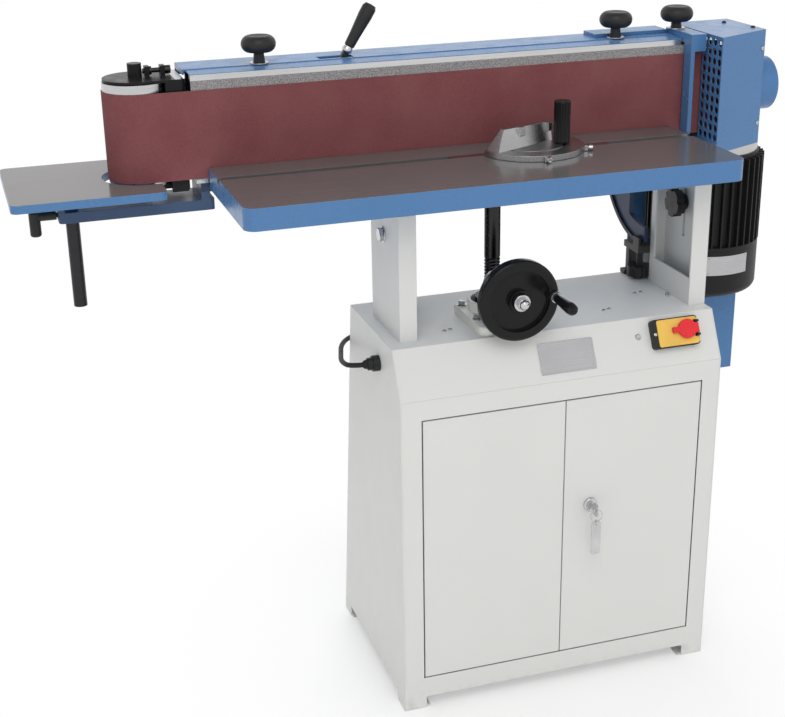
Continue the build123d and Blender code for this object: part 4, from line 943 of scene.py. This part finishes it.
fastenerSet = [
    {"name": "plateRivets", "head": "rivet", "wide": 0.0034, "finish": "chrome", "body": "cabinet",
     "slot": "bright_steel",
     "spots": [(onSlope(x, v, 0.0009), slopeOut) for x in (-0.0372, 0.0562) for v in (0.0188, 0.0642)]},
    {"name": "switchScrew", "head": "button", "wide": 0.0068, "finish": "chrome", "body": "cabinet",
     "slot": "bright_steel",
     "spots": [(onSlope(0.1757, 0.057, 0.012), slopeOut)]},
    {"name": "gearboxBolts", "head": "washer", "wide": 0.0185, "finish": "steel", "body": "cabinet",
     "slot": "bright_steel",
     "spots": [((x, y, 0.703), up) for x in (-0.127, -0.039) for y in (-0.022, -0.099)]},
    {"name": "deckScrews", "head": "button", "wide": 0.0075, "finish": "steel", "body": "cabinet",
     "slot": "bright_steel",
     "spots": [((x, y, 0.687), up) for x,
               y in ((-0.186, -0.095), (-0.174, -0.091), (0.115, -0.095), (0.127, -0.091),
                                                (0.208, -0.030), (0.221, -0.028), (0.258, -0.062),
                                                (0.2635, -0.052))]},
    {"name": "backScrews", "head": "button", "wide": 0.0085, "finish": "steel", "body": "cabinet",
     "slot": "bright_steel",
     "spots": [(onBack(x, z), backLean) for x in (-0.284, 0.284) for z in (0.05, 0.20, 0.35, 0.50, 0.665)]
     + [(onBack(x, z), backLean) for x in (-0.095, 0.095) for z in (0.05, 0.665)]},
    {"name": "hoodTopScrews", "head": "button", "wide": 0.0090, "finish": "gloss", "body": "head",
     "slot": "gloss_black",
     "spots": [((0.4754, 0.1714, 1.134), up), ((0.4950, 0.0998, 1.134), up)]},
    {"name": "hoodFrontScrews", "head": "button", "wide": 0.0085, "finish": "chrome", "body": "head",
     "slot": "bright_steel",
     "spots": [((0.4978, 0.0667, z), hoodLean) for z in (1.100, 0.961)]},
    {"name": "motorRivets", "head": "rivet", "wide": 0.0034, "finish": "steel", "body": "head",
     "slot": "bright_steel",
     "spots": [((motorX + rivetR * math.cos(a), motorY + rivetR * math.sin(a), z),
                (math.cos(a), math.sin(a), 0))
               for a in (math.radians(-109.6), math.radians(-68.4)) for z in (0.6785, 0.7095)]},
]


def spreadFasteners(rows):
    tree, inputs = fastenerTree()
    heads = makeHeads()
    for s in rows:
        seeds = bpy.data.meshes.new(s["name"] + "Seeds")
        seeds.from_pydata([tuple(place) for place, aim in s["spots"]], [], [])
        aims = seeds.attributes.new("aim", "FLOAT_VECTOR", "POINT")
        for item, (place, aim) in zip(aims.data, s["spots"]):
            item.vector = aim
        ob = bpy.data.objects.new(s["name"] + "Seeds", seeds)
        scene.collection.objects.link(ob)
        spread = ob.modifiers.new("spread", "NODES")
        spread.node_group = tree
        spread[inputs["Head"]] = heads[s["head"]]
        spread[inputs["Width"]] = s["wide"]
        spread[inputs["Finish"]] = finishes[s["finish"]]
        graph = bpy.context.evaluated_depsgraph_get()
        mesh = bpy.data.meshes.new_from_object(ob.evaluated_get(graph))
        mesh.name = s["name"]
        ob.modifiers.remove(spread)
        bpy.data.objects.remove(ob)
        addPiece(s["name"], mesh, s["finish"], s["body"])
        print("fasteners:", s["name"], len(mesh.polygons), "faces")
    for head in heads.values():
        bpy.data.objects.remove(head)


spreadFasteners(fastenerSet)

# studio: pale floor, soft light, white background
studioSet = {"ambient": 0.57, "key": 40, "fill": 2, "low": 9, "back": 42, "floorGrey": 0.94, "zenith": 0.45}


def makeFloor(s):
    bpy.ops.mesh.primitive_plane_add(size=24, location=(0, 0, -0.0005))
    floor = bpy.context.object
    floor.name = "studioFloor"
    f = Finish("studioFloorWhite")
    cloud = f.spread(f.noise(3, 3), 0.3, 0.7, 0, 1)
    tone = f.mix(cloud, (s["floorGrey"],) * 3, (s["floorGrey"] + 0.02,) * 3)
    f.put(Base_Color=tone, Roughness=0.85, Specular_IOR_Level=0.1)
    away = f.node("ShaderNodeVectorMath", operation="LENGTH")
    f.link(f.place, away.inputs[0])
    fade = f.spread(away.outputs["Value"], 0.34, 0.72, 0.35, 1)
    path = f.node("ShaderNodeLightPath")
    seen = f.math("MAXIMUM", path.outputs["Is Camera Ray"], path.outputs["Is Glossy Ray"])
    seen = f.math("MAXIMUM", seen, path.outputs["Is Transmission Ray"])
    glow = f.node("ShaderNodeEmission")
    glow.inputs["Strength"].default_value = 1.0
    blend = f.node("ShaderNodeMixShader")
    f.link(f.math("MULTIPLY", fade, seen), blend.inputs[0])
    f.link(f.shader.outputs[0], blend.inputs[1])
    f.link(glow.outputs[0], blend.inputs[2])
    f.link(blend.outputs[0], f.tree.nodes["Material Output"].inputs["Surface"])
    floor.data.materials.append(f.mat)


def makeWorld(s):
    world = bpy.data.worlds.new("studio")
    scene.world = world
    world.use_nodes = True
    tree = world.node_tree
    soft = tree.nodes["Background"]
    soft.inputs["Strength"].default_value = s["ambient"]
    white = tree.nodes.new("ShaderNodeBackground")
    white.inputs["Strength"].default_value = 1.0
    where = tree.nodes.new("ShaderNodeTexCoord")
    split = tree.nodes.new("ShaderNodeSeparateXYZ")
    tree.links.new(where.outputs["Generated"], split.inputs[0])
    for shader, numbers in ((white, (0.45, 0.95, 1.0, s["zenith"])), (soft, (-0.1, 1.0, 0.82, 1.6))):
        fall = tree.nodes.new("ShaderNodeMapRange")
        for key, number in zip(("From Min", "From Max", "To Min", "To Max"), numbers):
            fall.inputs[key].default_value = number
        tree.links.new(split.outputs["Z"], fall.inputs["Value"])
        tree.links.new(fall.outputs["Result"], shader.inputs["Color"])
    path = tree.nodes.new("ShaderNodeLightPath")
    seen = None
    for name in ("Is Camera Ray", "Is Glossy Ray", "Is Transmission Ray"):
        if seen is None:
            seen = path.outputs[name]
            continue
        joined = tree.nodes.new("ShaderNodeMath")
        joined.operation = "MAXIMUM"
        tree.links.new(seen, joined.inputs[0])
        tree.links.new(path.outputs[name], joined.inputs[1])
        seen = joined.outputs[0]
    blend = tree.nodes.new("ShaderNodeMixShader")
    tree.links.new(seen, blend.inputs[0])
    tree.links.new(soft.outputs[0], blend.inputs[1])
    tree.links.new(white.outputs[0], blend.inputs[2])
    tree.links.new(blend.outputs[0], tree.nodes["World Output"].inputs["Surface"])


def addLamp(name, place, target, size, power, mirrored=True):
    data = bpy.data.lights.new(name, "AREA")
    data.size = size
    data.energy = power
    lamp = bpy.data.objects.new(name, data)
    lamp.location = place
    lamp.rotation_euler = (Vector(target) - Vector(place)).to_track_quat("-Z", "Y").to_euler()
    lamp.visible_glossy = mirrored
    scene.collection.objects.link(lamp)


makeFloor(studioSet)
makeWorld(studioSet)
addLamp("keyLamp", (-0.8, -2.6, 3.9), (0, 0, 0.7), 2.4, studioSet["key"])
addLamp("fillLamp", (2.6, -2.2, 2.4), (0, 0, 0.8), 2.6, studioSet["fill"])
addLamp("lowLamp", (-0.3, -3.2, 0.9), (0, 0, 0.7), 2.0, studioSet["low"], False)
addLamp("backLamp", (0.3, 2.8, 1.9), (0, 0, 0.7), 2.5, studioSet["back"], False)
print("studio lit")
